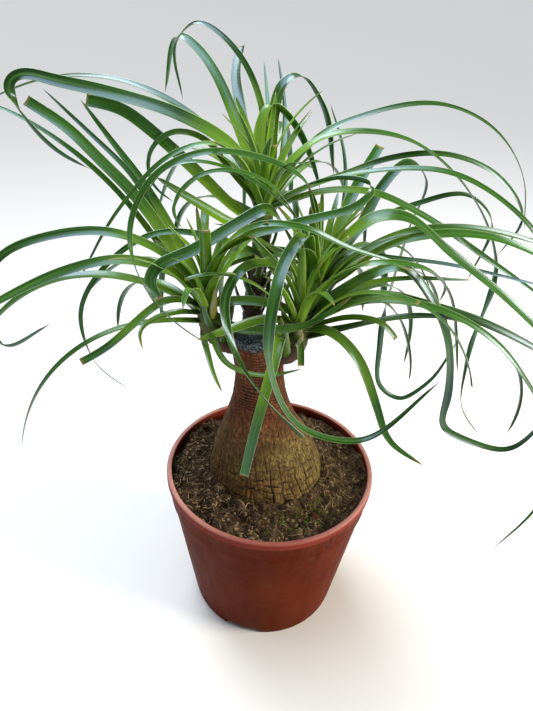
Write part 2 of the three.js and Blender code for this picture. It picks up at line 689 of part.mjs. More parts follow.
/** The leaves of a shoot that the photograph hides: young ones upright inside, old ones out and down. */
function unseenLeaves(shoot, salt) {
  const leaves = [];
  for (let i = 0; i < shoot.unseen; i += 1) {
    const age = (i + 0.5) / shoot.unseen;
    const young = age < 0.3;
    const swing = THREE.MathUtils.euclideanModulo(i * GOLDEN_ANGLE + salt * 61, 360);
    leaves.push({
      heading: young ? swing : shoot.longFrom + ((shoot.longTo - shoot.longFrom) * swing) / 360,
      rise: (young ? 82 : 62 - 45 * age) + 8 * (chance(i, salt) - 0.5),
      length: young ? 45 + 45 * chance(i, salt + 1) : 130 + 110 * chance(i, salt + 1),
      fall: (young ? 55 : -35 - 45 * age) + 30 * (chance(i, salt + 2) - 0.5),
      bend: 0.36 + 0.2 * chance(i, salt + 3),
      spread: 0.6 + 0.3 * chance(i, salt + 4),
      turn: 40 * (chance(i, salt + 5) - 0.5),
      curl: -50 * age * chance(i, salt + 6),
      level: 12 - 24 * age,
      width: young ? 5 + 3 * chance(i, salt + 7) : 6 + 5 * chance(i, salt + 7),
      end: chance(i, salt + 8) < 0.3 ? CUT : POINTED,
    });
  }
  return leaves;
}

/** Gives a leaf its slow twist. A seen leaf that leans out sideways turns its face to the front as well. */
function twisted(leaf, root, number, salt) {
  const sway = TWIST_MOST * (2 * chance(number, salt + 9) - 1);
  if (!leaf.picture) return { ...leaf, twist: sway };
  const points = tracedPoints(leaf, root, 0, 0);
  const away = points[Math.floor(points.length * FACING_PLACE)].clone().sub(points[0]);
  return { ...leaf, twist: sway + (FACING_TWIST * away.x) / Math.hypot(away.x, away.y) };
}

/** The seen and the unseen leaves of a shoot, each with its root and its shoot's name. */
function leavesOf(shoot, salt) {
  const [x, y, z] = shoot.stem.at(ROOT_LEVEL);
  const all = [...shoot.seen, ...unseenLeaves(shoot, salt)].map((leaf, i) => {
    const root = new THREE.Vector3(x, y, z + ROOT_LIFT + leaf.level);
    return { leaf: twisted(leaf, root, i, salt), root, owner: shoot.name };
  });
  return { seen: all.slice(0, shoot.seen.length), unseen: all.slice(shoot.seen.length) };
}

/** Width times length of a leaf, by which the leaves queue for room. */
function faceArea({ leaf, root }) {
  const length = leaf.picture ? BLADE_STEP * tracedPoints(leaf, root, 0, 0).length : leaf.length;
  return leaf.width * length;
}

/** The stem of a shoot: a short rounded tube that turns upward and ends inside the rosette. */
function makeStem(levels) {
  const sides = 10;
  const rings = levels.map(([x, y, z, r], i) => {
    const before = levels[Math.max(0, i - 1)];
    const after = levels[Math.min(levels.length - 1, i + 1)];
    const span = after.map((value, axis) => value - before[axis]).slice(0, 3);
    const along = new THREE.Vector3(...span).normalize();
    const turn = new THREE.Quaternion().setFromUnitVectors(new THREE.Vector3(0, 0, 1), along);
    return Array.from({ length: sides }, (_, j) => {
      const heading = (j / sides) * Math.PI * 2;
      const spoke = new THREE.Vector3(r * Math.cos(heading), r * Math.sin(heading), 0).applyQuaternion(turn);
      return spoke.add(new THREE.Vector3(x, y, z));
    });
  });
  return toSolid(skin(rings));
}

const trunk = makeTrunk(0);
const trunkGrown = makeTrunk(SEAT_GAP);

bookRound(TRUNK_LEVELS.filter(([z]) => z > 130).map(([z, r, lean]) => [-lean, 0, z, r]), 'trunk');
SHOOTS.forEach((shoot) => bookRound(shoot.stem, shoot.name));

// The seen leaves of all four shoots find their room first, the largest before the small, then the unseen.
// A leaf that finds none among the others doesn't grow.
const placed = new Map(SHOOTS.map((shoot) => [shoot.name, []]));
const wanted = SHOOTS.map((shoot, n) => leavesOf(shoot, 10 * n + 3));
for (const kind of ['seen', 'unseen']) {
  const queue = wanted.flatMap((leaves) => leaves[kind]);
  queue.sort((a, b) => faceArea(b) - faceArea(a));
  for (const { leaf, root, owner } of queue) {
    const found = findRoom(leaf, root, owner);
    if (found) placed.get(owner).push(found);
  }
}

/** A shoot: its stem with every blade fused to it, cut back to a thin gap from the trunk. Only the largest
 * skin is kept, which fills the hollows that crossing blades close off. */
function makeShoot(shoot) {
  let solid = makeStem(shoot.stem);
  for (const { leaf, course } of placed.get(shoot.name)) solid = solid.add(makeBlade(leaf, course));
  const skins = solid.subtract(trunkGrown).decompose();
  return skins.reduce((largest, other) => (other.volume() > largest.volume() ? other : largest));
}

const plant = new THREE.Group();

function addPiece(name, solid, material) {
  const mesh = new THREE.Mesh(toGeometry(solid), material);
  mesh.name = name;
  plant.add(mesh);
}

addPiece('pot', makePot(), finish(0x8a4430, 0.5));
addPiece('soil', makeSoil(trunkGrown), finish(0x3a2c20, 0.95));
addPiece('trunk', trunk, finish(0x6a5530, 0.85));
for (const shoot of SHOOTS) addPiece(shoot.name, makeShoot(shoot), finish(0x4f8a2e, 0.4));

export default plant;
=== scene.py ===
# %% [markdown]
# # A potted ponytail palm
# A ponytail palm stores water in a swollen, corky trunk base. This one was cut back, its cut was sealed,
# and four shoots grew from below the cut, each with a rosette of long strap leaves. It stands in a round
# plastic nursery pot. The lesson builds the pot first, then the trunk, the compost round it, the shoots with
# their leaves, and last the light and the camera. Every surface is worked out with numpy in millimetres and
# handed to Blender in metres.

import math

import bpy
import numpy as np
from mathutils import Matrix, Vector


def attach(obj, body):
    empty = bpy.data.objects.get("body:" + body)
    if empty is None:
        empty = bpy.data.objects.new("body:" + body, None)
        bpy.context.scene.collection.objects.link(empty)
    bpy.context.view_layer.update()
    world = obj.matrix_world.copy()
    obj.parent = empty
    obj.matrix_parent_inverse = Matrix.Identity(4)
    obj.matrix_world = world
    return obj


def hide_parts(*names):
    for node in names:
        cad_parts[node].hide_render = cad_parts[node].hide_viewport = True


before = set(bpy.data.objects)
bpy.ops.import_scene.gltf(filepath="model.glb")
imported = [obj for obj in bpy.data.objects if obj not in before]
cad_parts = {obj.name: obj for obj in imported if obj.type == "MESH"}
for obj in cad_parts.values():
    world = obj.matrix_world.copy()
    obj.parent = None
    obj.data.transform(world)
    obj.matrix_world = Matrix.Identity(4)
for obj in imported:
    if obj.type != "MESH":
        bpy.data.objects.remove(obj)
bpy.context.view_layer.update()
MM = 0.001

# %% [markdown]
# ## From arrays to a mesh
# Blender can build a shape from primitives and modifiers, or take ready lists of points and faces. A plant
# is all curved skins, so the second way is used throughout: a skin is a grid of points, and its faces are
# the squares between neighbouring points. Values worked out with the shape, such as how deep a crack is,
# travel with the points as attributes, and the materials read them.


# %% Mesh helpers
def grid_faces(rows, columns):
    """Squares of a grid stored row after row: corner (i, j), its neighbour, and the two above. The last
    column joins the first, so a tube has no seam."""
    i, j = np.meshgrid(np.arange(rows - 1), np.arange(columns), indexing="ij")
    k = (j + 1) % columns
    low, high = i * columns, (i + 1) * columns
    return np.stack([low + j, low + k, high + k, high + j], axis=-1).reshape(-1, 4)


def fan_faces(pole, first, columns, upward):
    """Triangles from one pole point to a ring of columns points that starts at first."""
    j = np.arange(columns)
    k = (j + 1) % columns
    ring = [first + j, first + k] if upward else [first + k, first + j]
    return np.stack([*ring, np.full(columns, pole)], axis=-1)


def round_points(radius, angle, height):
    """Points (r cos a, r sin a, z) for every radius, angle and height."""
    x, y = radius * np.cos(angle), radius * np.sin(angle)
    return np.stack(np.broadcast_arrays(x, y, height), axis=-1)


def capped_faces(rows, columns):
    """A tube closed by a fan at either end. The two poles follow the grid in the list of points."""
    count = rows * columns
    return [
        grid_faces(rows, columns),
        fan_faces(count, 0, columns, False),
        fan_faces(count + 1, count - columns, columns, True),
    ]


def make_mesh(name, points, faces, material, attributes=None):
    """One object from an (n, 3) array of points in millimetres and a list of face arrays, four or three
    corners wide. attributes maps a name to one number a point."""
    mesh = bpy.data.meshes.new(name)
    corners = np.concatenate([block.ravel() for block in faces]).astype(np.int32)
    sizes = np.concatenate([np.full(len(block), block.shape[1]) for block in faces])
    mesh.vertices.add(len(points))
    mesh.vertices.foreach_set("co", (np.asarray(points) * MM).astype(np.float32).ravel())
    mesh.loops.add(len(corners))
    mesh.loops.foreach_set("vertex_index", corners)
    mesh.polygons.add(len(sizes))
    mesh.polygons.foreach_set("loop_start", np.concatenate([[0], np.cumsum(sizes)[:-1]]).astype(np.int32))
    mesh.polygons.foreach_set("use_smooth", np.ones(len(sizes), bool))
    mesh.update(calc_edges=True)
    for key, values in (attributes or {}).items():
        layer = mesh.attributes.new(key, "FLOAT", "POINT")
        layer.data.foreach_set("value", np.asarray(values, np.float32).ravel())
    mesh.validate()
    mesh.materials.append(material)
    piece = bpy.data.objects.new(name, mesh)
    bpy.context.scene.collection.objects.link(piece)
    triangles = int((sizes - 2).sum())
    print(f"{name}: {len(points)} points, {triangles} triangles")
    return piece


# %% [markdown]
# ## Curves and noise
# Growth isn't random, but it looks it. Small functions give all the variation. The first three blend from
# one value to another. The next turns whole numbers into numbers that look random but never change, and
# another spreads such numbers over a lattice and smooths between them, which gives soft lumps of a chosen
# size. The last draws a smooth curve through rows of numbers, as a draughtsman's spline does.


# %% Curve and noise helpers
def ease(t):
    """Zero below 0, one above 1, and 3t^2 - 2t^3 between."""
    held = np.clip(t, 0, 1)
    return held * held * (3 - 2 * held)


def rise_between(value, start, end):
    """Zero at start and one at end, eased between. The end may lie below the start."""
    return ease((value - start) / (end - start))


def mix(a, b, t):
    """The straight blend a + (b - a) t."""
    return a + (b - a) * t


def chance(index, salt):
    """The fraction part of a large sine: the same number every time for the same index and salt."""
    wave = np.sin(np.asarray(index) * 12.9898 + salt * 78.233) * 43758.5453
    return wave - np.floor(wave)


def lumps(points, size, salt):
    """Smooth noise from -1 to 1: a value at each corner of a lattice of cubes of that size, blended with the
    eased distance to the eight corners round the point."""
    scaled = np.asarray(points) / size + salt * 17.31
    cell = np.floor(scaled)
    part = scaled - cell
    part = part * part * (3 - 2 * part)
    total = 0
    for corner in np.ndindex(2, 2, 2):
        at = cell + corner
        value = np.sin(at @ np.array([12.9898, 78.233, 37.719]) + salt) * 43758.5453
        share = np.prod(np.where(np.array(corner) == 1, part, 1 - part), axis=-1)
        total = total + share * (value - np.floor(value))
    return 2 * total - 1


def smooth_levels(levels, heights):
    """A smooth curve through rows of numbers: between two rows it follows the cubic whose end slopes are the
    mean slopes of the neighbours. The first column is the place along the curve."""
    table = np.asarray(levels, float)
    place = table[:, 0]
    slopes = np.gradient(table[:, 1:], place, axis=0)
    k = np.clip(np.searchsorted(place, heights, side="right") - 1, 0, len(place) - 2)
    gap = (place[k + 1] - place[k])[:, None]
    t = ((heights - place[k]) / gap[:, 0])[:, None]
    start, end = table[k, 1:], table[k + 1, 1:]
    rise = t * t * (3 - 2 * t)
    bow = (t**3 - 2 * t**2 + t) * gap * slopes[k] + (t**3 - t**2) * gap * slopes[k + 1]
    return start + (end - start) * rise + bow


# %% [markdown]
# ## Colours and material nodes
# Colours are given as sRGB hex values, as a picker shows them, and one function turns them into the linear
# numbers that the shader needs. The others each add one kind of node and return its output, so that each
# material below reads as a short list.


# %% Material helpers
def linear(code):
    """sRGB hex to linear: v / 12.92 below 0.04045, else ((v + 0.055) / 1.055)^2.4."""
    parts = [int(code[i : i + 2], 16) / 255 for i in (1, 3, 5)]
    return tuple(v / 12.92 if v <= 0.04045 else ((v + 0.055) / 1.055) ** 2.4 for v in parts) + (1.0,)


def add(material, kind, settings=None, **links):
    """One node: settings are its own fields or its inputs by name or number, and links joins an output to
    each input named, where the letter i before a number stands for the input's number."""
    tree = material.node_tree
    node = tree.nodes.new(kind)
    for key, value in (settings or {}).items():
        if isinstance(key, str) and hasattr(node, key):
            setattr(node, key, value)
        else:
            node.inputs[key].default_value = value
    for key, source in links.items():
        place = int(key[1:]) if key[0] == "i" and key[1:].isdigit() else key.replace("_", " ")
        tree.links.new(source, node.inputs[place])
    return node


def new_material(name, roughness, **sockets):
    """A material with one Principled shader, given by its roughness and further sockets."""
    material = bpy.data.materials.new(name)
    material.use_nodes = True
    shader = material.node_tree.nodes["Principled BSDF"]
    shader.inputs["Roughness"].default_value = roughness
    for key, value in sockets.items():
        shader.inputs[key.replace("_", " ")].default_value = value
    return material, shader


def attribute(material, name):
    """The output of a point attribute that the mesh carries."""
    return add(material, "ShaderNodeAttribute", {"attribute_name": name}).outputs["Fac"]


def blend(material, share, first, second):
    """A colour that goes from first to second with share. Each of the two is a hex value or an output."""
    node = add(material, "ShaderNodeMix", {"data_type": "RGBA"})
    tree = material.node_tree
    sockets = [s for s in node.inputs if s.type == "RGBA"]
    for socket, colour in zip(sockets, (first, second)):
        if isinstance(colour, str):
            socket.default_value = linear(colour)
        else:
            tree.links.new(colour, socket)
    factor = [s for s in node.inputs if s.name == "Factor" and s.type == "VALUE"][0]
    tree.links.new(share, factor)
    return [s for s in node.outputs if s.type == "RGBA"][0]


def step_between(material, value, low, high, out_low=0.0, out_high=1.0):
    """Value mapped from low..high to out_low..out_high, held at the ends."""
    settings = {1: low, 2: high, 3: out_low, 4: out_high}
    return add(material, "ShaderNodeMapRange", settings, i0=value).outputs["Result"]


def speckle(material, scale_mm, detail, coords, stretch=(1, 1, 1)):
    """Noise whose lumps are about scale_mm wide. Noise of scale 1 has lumps of one unit, here a metre."""
    stretched = add(material, "ShaderNodeMapping", {"Scale": stretch}, Vector=coords)
    settings = {"Scale": 1 / (scale_mm * MM), "Detail": detail}
    return add(material, "ShaderNodeTexNoise", settings, Vector=stretched.outputs["Vector"]).outputs["Fac"]


def object_coords(material):
    """The place on the object, in metres."""
    return add(material, "ShaderNodeTexCoord").outputs["Object"]


def along_axis(material, place, axis):
    """One coordinate of a place, named X, Y or Z."""
    return add(material, "ShaderNodeSeparateXYZ", Vector=place).outputs[axis]


def reckon(material, operation, first, second=None):
    """The outcome of a sum on one output, or on two."""
    sources = {"i0": first} if second is None else {"i0": first, "i1": second}
    return add(material, "ShaderNodeMath", {"operation": operation}, **sources).outputs[0]


def relief(material, height, depth_mm, strength):
    """A bump from a height output."""
    settings = {"Strength": strength, "Distance": depth_mm * MM}
    return add(material, "ShaderNodeBump", settings, Height=height).outputs["Normal"]


def connect(material, shader, **outputs):
    """Joins each output to the shader's input of that name, where _ stands for a space."""
    for key, output in outputs.items():
        material.node_tree.links.new(output, shader.inputs[key.replace("_", " ")])


# %% [markdown]
# ## The pot
# A nursery pot is injection moulded from polypropylene dyed a terracotta brown: a thin tapering wall, a
# collar that steps out near the top, a rolled lip, and a foot ring with notches that let water drain. All
# of it is one profile turned about the axis, so the surface is a function of the angle and of the place
# along the profile. The notches are that same surface lifted wherever the angle falls inside one. The drain
# holes are cut through the floor afterwards, with a set of plain cylinders.

# %% Pot dimensions
POT_HEIGHT = 141.0
RIM_RADIUS = 85.0
LIP_HEIGHT = 6.5
LIP_OVERHANG = 1.6
COLLAR_HEIGHT = 17.0
COLLAR_STEP = 1.1
FOOT_RADIUS = 65.0
WALL = 1.9
FLOOR_UNDERSIDE = 5.0
FLOOR_TOP = 7.0
BOSS_RADIUS = 20.0
FOOT_RING_WIDTH = 6.6
NOTCHES = 4
NOTCH_HALF_ANGLE = 13.6
NOTCH_HEIGHT = 4.6
NOTCH_HEADING = -105.0
DRAIN_HOLES = 8
DRAIN_HOLE_RADIUS = 4.5
DRAIN_CIRCLE_RADIUS = 38.0
COLLAR_FOOT = POT_HEIGHT - LIP_HEIGHT - COLLAR_HEIGHT
LIP_FOOT = POT_HEIGHT - LIP_HEIGHT


def pot_radius(z):
    """Outer radius of the wall: one straight taper to the collar's foot, a step out, and a steeper taper."""
    top = RIM_RADIUS - LIP_OVERHANG
    return np.interp(
        z, [0, COLLAR_FOOT - 1.2, COLLAR_FOOT, LIP_FOOT], [FOOT_RADIUS, top - 1 - COLLAR_STEP, top - 1, top]
    )


# %% Pot surface
def turned_skin(profile, angles, lift=None):
    """Points of a profile of (radius, height) rows carried round the axis: x = r cos a, y = r sin a. The
    first and last rows lie on the axis and become one point each."""
    radius = np.repeat(profile[1:-1, 0][:, None], len(angles), axis=1)
    height = np.repeat(profile[1:-1, 1][:, None], len(angles), axis=1)
    if lift is not None:
        height = lift(radius, height, angles)
    body = round_points(radius, angles, height).reshape(-1, 3)
    poles = np.array([[0, 0, profile[0, 1]], [0, 0, profile[-1, 1]]])
    return np.concatenate([body, poles]), capped_faces(len(profile) - 2, len(angles))


def notch_lift(radius, height, angles):
    """Raises the foot ring's points to the notch height wherever the angle lies inside a notch."""
    from_middle = (np.degrees(angles) - NOTCH_HEADING + 45) % (360 / NOTCHES) - 45
    inside = (np.abs(from_middle) < NOTCH_HALF_ANGLE)[None, :] & (radius > BOSS_RADIUS + 1)
    return np.where(inside & (height < NOTCH_HEIGHT), NOTCH_HEIGHT, height)


def arc(centre, size, start, stop, count):
    """Points of a rounded corner: centre + size (cos a, sin a) from start to stop degrees."""
    a = np.radians(np.linspace(start, stop, count))
    return np.stack([centre[0] + size * np.cos(a), centre[1] + size * np.sin(a)], axis=-1)


foot_inside = FOOT_RADIUS - FOOT_RING_WIDTH
wall_heights = np.array([6, 20, 50, 80, COLLAR_FOOT - 2.4, COLLAR_FOOT - 1.2, COLLAR_FOOT, COLLAR_FOOT + 0.6])
outer_wall = np.stack([pot_radius(wall_heights), wall_heights], axis=-1)
inner_heights = np.array([LIP_FOOT, COLLAR_FOOT, COLLAR_FOOT - 2, 60, FLOOR_TOP + 1.5])
inner_wall = np.stack([pot_radius(inner_heights) - WALL, inner_heights], axis=-1)
pot_profile = np.concatenate(
    [
        [[0, 0], [BOSS_RADIUS - 0.3, 0], [BOSS_RADIUS, 0.3], [BOSS_RADIUS, FLOOR_UNDERSIDE]],
        [[foot_inside, FLOOR_UNDERSIDE], [foot_inside, 0.3], [foot_inside + 0.3, 0]],
        arc((FOOT_RADIUS - 1.2, 1.2), 1.2, -90, 0, 6),
        outer_wall,
        [[pot_radius(LIP_FOOT - 0.5), LIP_FOOT - 0.5], [pot_radius(LIP_FOOT) + 0.2, LIP_FOOT]],
        arc((RIM_RADIUS - 0.8, LIP_FOOT + 0.8), 0.8, -80, 0, 4),
        arc((RIM_RADIUS - 1.6, POT_HEIGHT - 1.6), 1.6, 0, 90, 8),
        arc((RIM_RADIUS - 2.8, POT_HEIGHT - 1.2), 1.2, 95, 175, 7),
        inner_wall,
        arc((pot_radius(FLOOR_TOP) - WALL - 1.5, FLOOR_TOP + 1.5), 1.5, 0, -90, 4)[1:],
        [[0, FLOOR_TOP]],
    ]
)
HAIRS = (-0.05, 0.05)
notch_edges = np.radians(
    [
        NOTCH_HEADING + n * 360 / NOTCHES + side * (NOTCH_HALF_ANGLE + hair)
        for n in range(NOTCHES)
        for side in (-1, 1)
        for hair in HAIRS
    ]
)
even_angles = np.linspace(0, 2 * np.pi, 180, endpoint=False)
pot_angles = np.sort(np.concatenate([even_angles, notch_edges % (2 * np.pi)]))
pot_points, pot_faces = turned_skin(pot_profile, pot_angles, notch_lift)
SMEAR_HEADING = -58
SMEAR_WIDTH = 9
SMEAR_LEAN = 0.35
SMEAR_FROM, SMEAR_FULL = 88, 112
pot_heading = np.degrees(np.arctan2(pot_points[:, 1], pot_points[:, 0]))
from_smear = (pot_heading - SMEAR_HEADING + (LIP_FOOT - pot_points[:, 2]) * SMEAR_LEAN) / SMEAR_WIDTH
below_lip = rise_between(pot_points[:, 2], SMEAR_FROM, SMEAR_FULL) * (pot_points[:, 2] < LIP_FOOT + 3)
smear = np.exp(-(from_smear**2)) * below_lip
print("pot profile rows:", len(pot_profile))

# %% [markdown]
# ### Moulded polypropylene
# Dyed polypropylene from a mould is satin and a little uneven: the flow of the melt leaves faint vertical
# streaks, and handling and watering leave dust, and a smear of wet compost below the lip at the front right.
# Polypropylene has an IOR of 1.49. Dust keeps its shine low. The lip is painted lighter than the body, a
# painted sheen, and its top is painted pale, most at its sides, a painted highlight. Each mark is one noise
# of its own real size, and the smear is held to its place by an attribute of the points.

# %% Pot material
polypropylene, shader = new_material("moulded_terracotta_polypropylene", 0.55, IOR=1.49)
shader.inputs["Specular IOR Level"].default_value = 0.04
place = object_coords(polypropylene)
streaks = speckle(polypropylene, 9, 2, place, (1, 1, 0.12))
clouds = speckle(polypropylene, 45, 3, place)
cloudy = step_between(polypropylene, clouds, 0.35, 0.65)
base = blend(polypropylene, cloudy, "#531801", "#602104")
streaky = step_between(polypropylene, streaks, 0.45, 0.75, 0.0, 0.16)
base = blend(polypropylene, streaky, base, "#441304")
height_m = along_axis(polypropylene, place, "Z")
# The lip is painted lighter than the body: a painted sheen.
lip_share = step_between(polypropylene, height_m, (LIP_FOOT - 1) * MM, (LIP_FOOT + 1.5) * MM)
base = blend(polypropylene, lip_share, base, "#7b3126")
# The lip's top is painted pale, most at its left and right sides: a painted highlight.
rim_top = step_between(polypropylene, height_m, (POT_HEIGHT - 1.6) * MM, (POT_HEIGHT - 0.3) * MM)
rim_side = reckon(polypropylene, "ABSOLUTE", along_axis(polypropylene, place, "X"))
painted_highlight_sides = step_between(polypropylene, rim_side, 20 * MM, 70 * MM, 0.2, 0.65)
painted_rim_highlight = reckon(polypropylene, "MULTIPLY", rim_top, painted_highlight_sides)
base = blend(polypropylene, painted_rim_highlight, base, "#c9988c")
dust = speckle(polypropylene, 5, 5, place)
dusty = step_between(polypropylene, dust, 0.56, 0.78, 0.0, 0.4)
base = blend(polypropylene, dusty, base, "#643820")
smear_grain = speckle(polypropylene, 4.5, 5, place, (1, 1, 0.7))
smear_dark = step_between(polypropylene, smear_grain, 0.5, 0.62, 0.0, 0.7)
smeared = reckon(polypropylene, "MULTIPLY", smear_dark, attribute(polypropylene, "smear"))
base = blend(polypropylene, smeared, base, "#2a130b")
gloss = step_between(polypropylene, streaks, 0.3, 0.7, 0.48, 0.62)
grain = relief(polypropylene, speckle(polypropylene, 1.2, 2, place), 0.05, 0.5)
connect(polypropylene, shader, Base_Color=base, Roughness=gloss, Normal=grain)

# %% Pot piece
pot = make_mesh("nursery_pot", pot_points, pot_faces, polypropylene, {"smear": smear})
cutter_angles = np.linspace(0, 2 * np.pi, 20, endpoint=False)
hole_levels = [FLOOR_UNDERSIDE - 4, FLOOR_UNDERSIDE - 4, FLOOR_TOP + 5, FLOOR_TOP + 5]
hole_profile = np.stack([[0, DRAIN_HOLE_RADIUS, DRAIN_HOLE_RADIUS, 0], hole_levels], axis=-1)
hole_points, hole_faces = turned_skin(hole_profile, cutter_angles)
hole_headings = (np.arange(DRAIN_HOLES) + 0.5) / DRAIN_HOLES * 2 * np.pi
hole_centres = round_points(DRAIN_CIRCLE_RADIUS, hole_headings, 0)
all_holes = (hole_centres[:, None, :] + hole_points[None]).reshape(-1, 3)
shifts = np.arange(DRAIN_HOLES) * len(hole_points)
cutter_faces = [(block[None] + shifts[:, None, None]).reshape(-1, block.shape[1]) for block in hole_faces]
unsmeared = {"smear": np.zeros(len(all_holes))}
cutter = make_mesh("drain_cutter", all_holes, cutter_faces, polypropylene, unsmeared)
cut = pot.modifiers.new("drain holes", "BOOLEAN")
cut.operation = "DIFFERENCE"
cut.object = cutter
cut.solver = "EXACT"
holed = bpy.data.meshes.new_from_object(pot.evaluated_get(bpy.context.evaluated_depsgraph_get()))
pot.modifiers.clear()
pot.data = holed
bpy.data.objects.remove(cutter)
SHARP_FROM = math.radians(38)
pot.data.set_sharp_from_angle(angle=SHARP_FROM)
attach(pot, "root")
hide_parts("pot")
print("pot faces after the holes:", len(pot.data.polygons))

# %% [markdown]
# ## The trunk
# The trunk is a bulb that narrows to a neck and leans a little. Its cork can't stretch, so as the bulb
# swells the bark splits: long cracks run up the bulb, short ones join them across, and the plates between
# them are nearly square at the soil. Higher up only fine upright fissures are left, and the neck carries
# close level rings, the scars of old leaves. The surface is rings of points, one function of height and
# angle, and all of the bark is one depth that is taken off the radius.

# %% Trunk outline
TRUNK_LEVELS = [
    [78, 6, 3],
    [80, 20, 3],
    [87, 33, 3],
    [99, 42, 3],
    [113, 46.5, 3],
    [126, 47.6, 3],
    [138, 46.6, 3.2],
    [150, 43.8, 4.2],
    [162, 40, 5.6],
    [174, 35, 7.6],
    [187, 29.2, 9.2],
    [201, 24, 10.2],
    [214, 20.4, 11],
    [228, 18.6, 11.8],
    [242, 18.6, 12.8],
    [254, 19.2, 14],
    [261, 18.8, 14.8],
    [265.5, 17, 15.2],
    [267, 13, 15.3],
]
TRUNK_FOOT, TRUNK_SHOULDER, TRUNK_TOP = 78, 265.5, 267
SOIL_LEVEL = 133.0
BURIED_TO = 128
TRUNK_COLUMNS = 380
buried = np.linspace(TRUNK_FOOT, BURIED_TO, 9)[:-1]
trunk_heights = np.concatenate([buried, np.linspace(BURIED_TO, TRUNK_SHOULDER, 206), [266.4, TRUNK_TOP]])
trunk_shape = smooth_levels(TRUNK_LEVELS, trunk_heights)
trunk_angles = np.linspace(0, 2 * np.pi, TRUNK_COLUMNS, endpoint=False)
trunk_z, trunk_a = np.meshgrid(trunk_heights, trunk_angles, indexing="ij")
trunk_r = np.repeat(trunk_shape[:, :1], TRUNK_COLUMNS, axis=1)
trunk_lean = np.repeat(trunk_shape[:, 1:], TRUNK_COLUMNS, axis=1)
on_trunk = round_points(trunk_r, trunk_a, trunk_z)
print("widest part of the trunk, mm across:", round(float(2 * trunk_r.max()), 1))

# %% [markdown]
# ### Cracked cork
# A crack is a line where the depth is large. The upright ones are the lines where a winding angle, counted
# in plates, passes a whole number, and the short ones where the height in plates does, shifted from column
# to column so that they don't line up. The depth falls off from such a line as a bell curve. A random
# strength for each line leaves some out, as on the real bark. Each pair of heights below says where a kind
# of mark begins and where it is at its full strength.

# %% Bark depth
PLATES_ROUND = 36
FINE_PLATES_ROUND = 92
CRACK_WIDTH = 0.5
CRACK_DEPTH = 1.7
GRAIN_DEPTH = 0.5
RING_PITCH = 2.6
RING_DEPTH = 0.6
UPRIGHT_CRACKS = (190, 146)
LEVEL_CRACKS = (182, 148)
FINE_CRACKS = (214, 190)
NECK_RINGS = (188, 218)


def line_strength(number, salt, weakest):
    """How deep one numbered line is cut, from 0 to 1: chance, with the weakest share left out."""
    return ease((chance(number, salt) - weakest) / (1 - weakest) + 0.25)


wander = 0.42 * lumps(on_trunk * [1, 1, 0.55], 15, 1) + 0.16 * lumps(on_trunk, 5, 2)
across_plates = trunk_a / (2 * np.pi) * PLATES_ROUND + wander
column = np.floor(across_plates)
nearest_line = np.round(across_plates)
plate_width = 2 * np.pi * trunk_r / PLATES_ROUND
upright_gap = np.abs(across_plates - nearest_line) * plate_width
line_id = nearest_line % PLATES_ROUND
patchy = ease(1.4 * lumps(on_trunk * [1, 1, 0.35], 13, 3) + 0.75)
upright = np.exp(-((upright_gap / CRACK_WIDTH) ** 2)) * line_strength(line_id, 5, 0.12) * patchy
column_id = column % PLATES_ROUND
plate_height = 4.2 + 4.6 * chance(column_id, 7)
along_plates = (trunk_z + 2.2 * lumps(on_trunk, 9, 4)) / plate_height + 9 * chance(column_id, 8)
level_gap = np.abs(along_plates - np.round(along_plates)) * plate_height
level_id = column_id * 31 + np.round(along_plates)
level_cracks = np.exp(-((level_gap / (0.9 * CRACK_WIDTH)) ** 2)) * line_strength(level_id, 9, 0.12)
near_soil = rise_between(trunk_z, *UPRIGHT_CRACKS)
level_share = rise_between(trunk_z, *LEVEL_CRACKS)
fine_place = trunk_a / (2 * np.pi) * FINE_PLATES_ROUND + 0.75 * lumps(on_trunk * [1, 1, 0.6], 9, 26)
fine_gap = np.abs(fine_place - np.round(fine_place)) * 2 * np.pi * trunk_r / FINE_PLATES_ROUND
fine_id = np.round(fine_place) % FINE_PLATES_ROUND
fine_broken = ease(2.2 * lumps(on_trunk * [1, 1, 0.3] + [0, 0, 5], 5, 27) + 0.5)
fine_cracks = np.exp(-((fine_gap / 0.42) ** 2)) * line_strength(fine_id, 28, 0.1) * fine_broken
fine_cracks = fine_cracks * rise_between(trunk_z, *FINE_CRACKS)
cracks = np.maximum(upright * near_soil, 0.95 * level_cracks * level_share)
cracks = np.maximum(cracks, 0.5 * fine_cracks)
fissures = np.abs(lumps(on_trunk * [1, 1, 0.16], 1.7, 11)) ** 0.6
crumbly = lumps(on_trunk * [1, 1, 0.7], 2.4, 12)
neck_share = rise_between(trunk_z, *NECK_RINGS)
ring_phase = trunk_z / RING_PITCH + 0.9 * lumps(on_trunk, 11, 13) + 0.25 * lumps(on_trunk, 4, 14)
ring_strength = np.clip(0.75 + 0.6 * lumps(on_trunk, 6, 15), 0, 1.2)
rings = (0.5 + 0.5 * np.cos(2 * np.pi * ring_phase)) ** 2 * ring_strength
old_scars = 0.5 + 0.5 * lumps(on_trunk * [0.35, 0.35, 1], 6, 16)
bark_depth = (
    CRACK_DEPTH * cracks
    + GRAIN_DEPTH * (1 - neck_share * 0.6) * (1 - fissures)
    - 0.16 * crumbly
    + neck_share * (RING_DEPTH * rings + 0.5 * (old_scars - 0.5))
)
swell = 0.8 * lumps(on_trunk, 34, 17) + 0.35 * near_soil * lumps(on_trunk, 8, 18)
print("share of the bulb that is cracked:", round(float((cracks > 0.4).mean()), 3))

# %% [markdown]
# ### The sealed cut
# Where the top was sawn off, the grower painted the wound with a dark sealing paste. It is grainy, greyish
# where it has weathered, and it ran a little way down the rim. It is the same skin as the trunk: above an
# uneven line the bark depth gives way to coarse grains, and an attribute tells the material where.

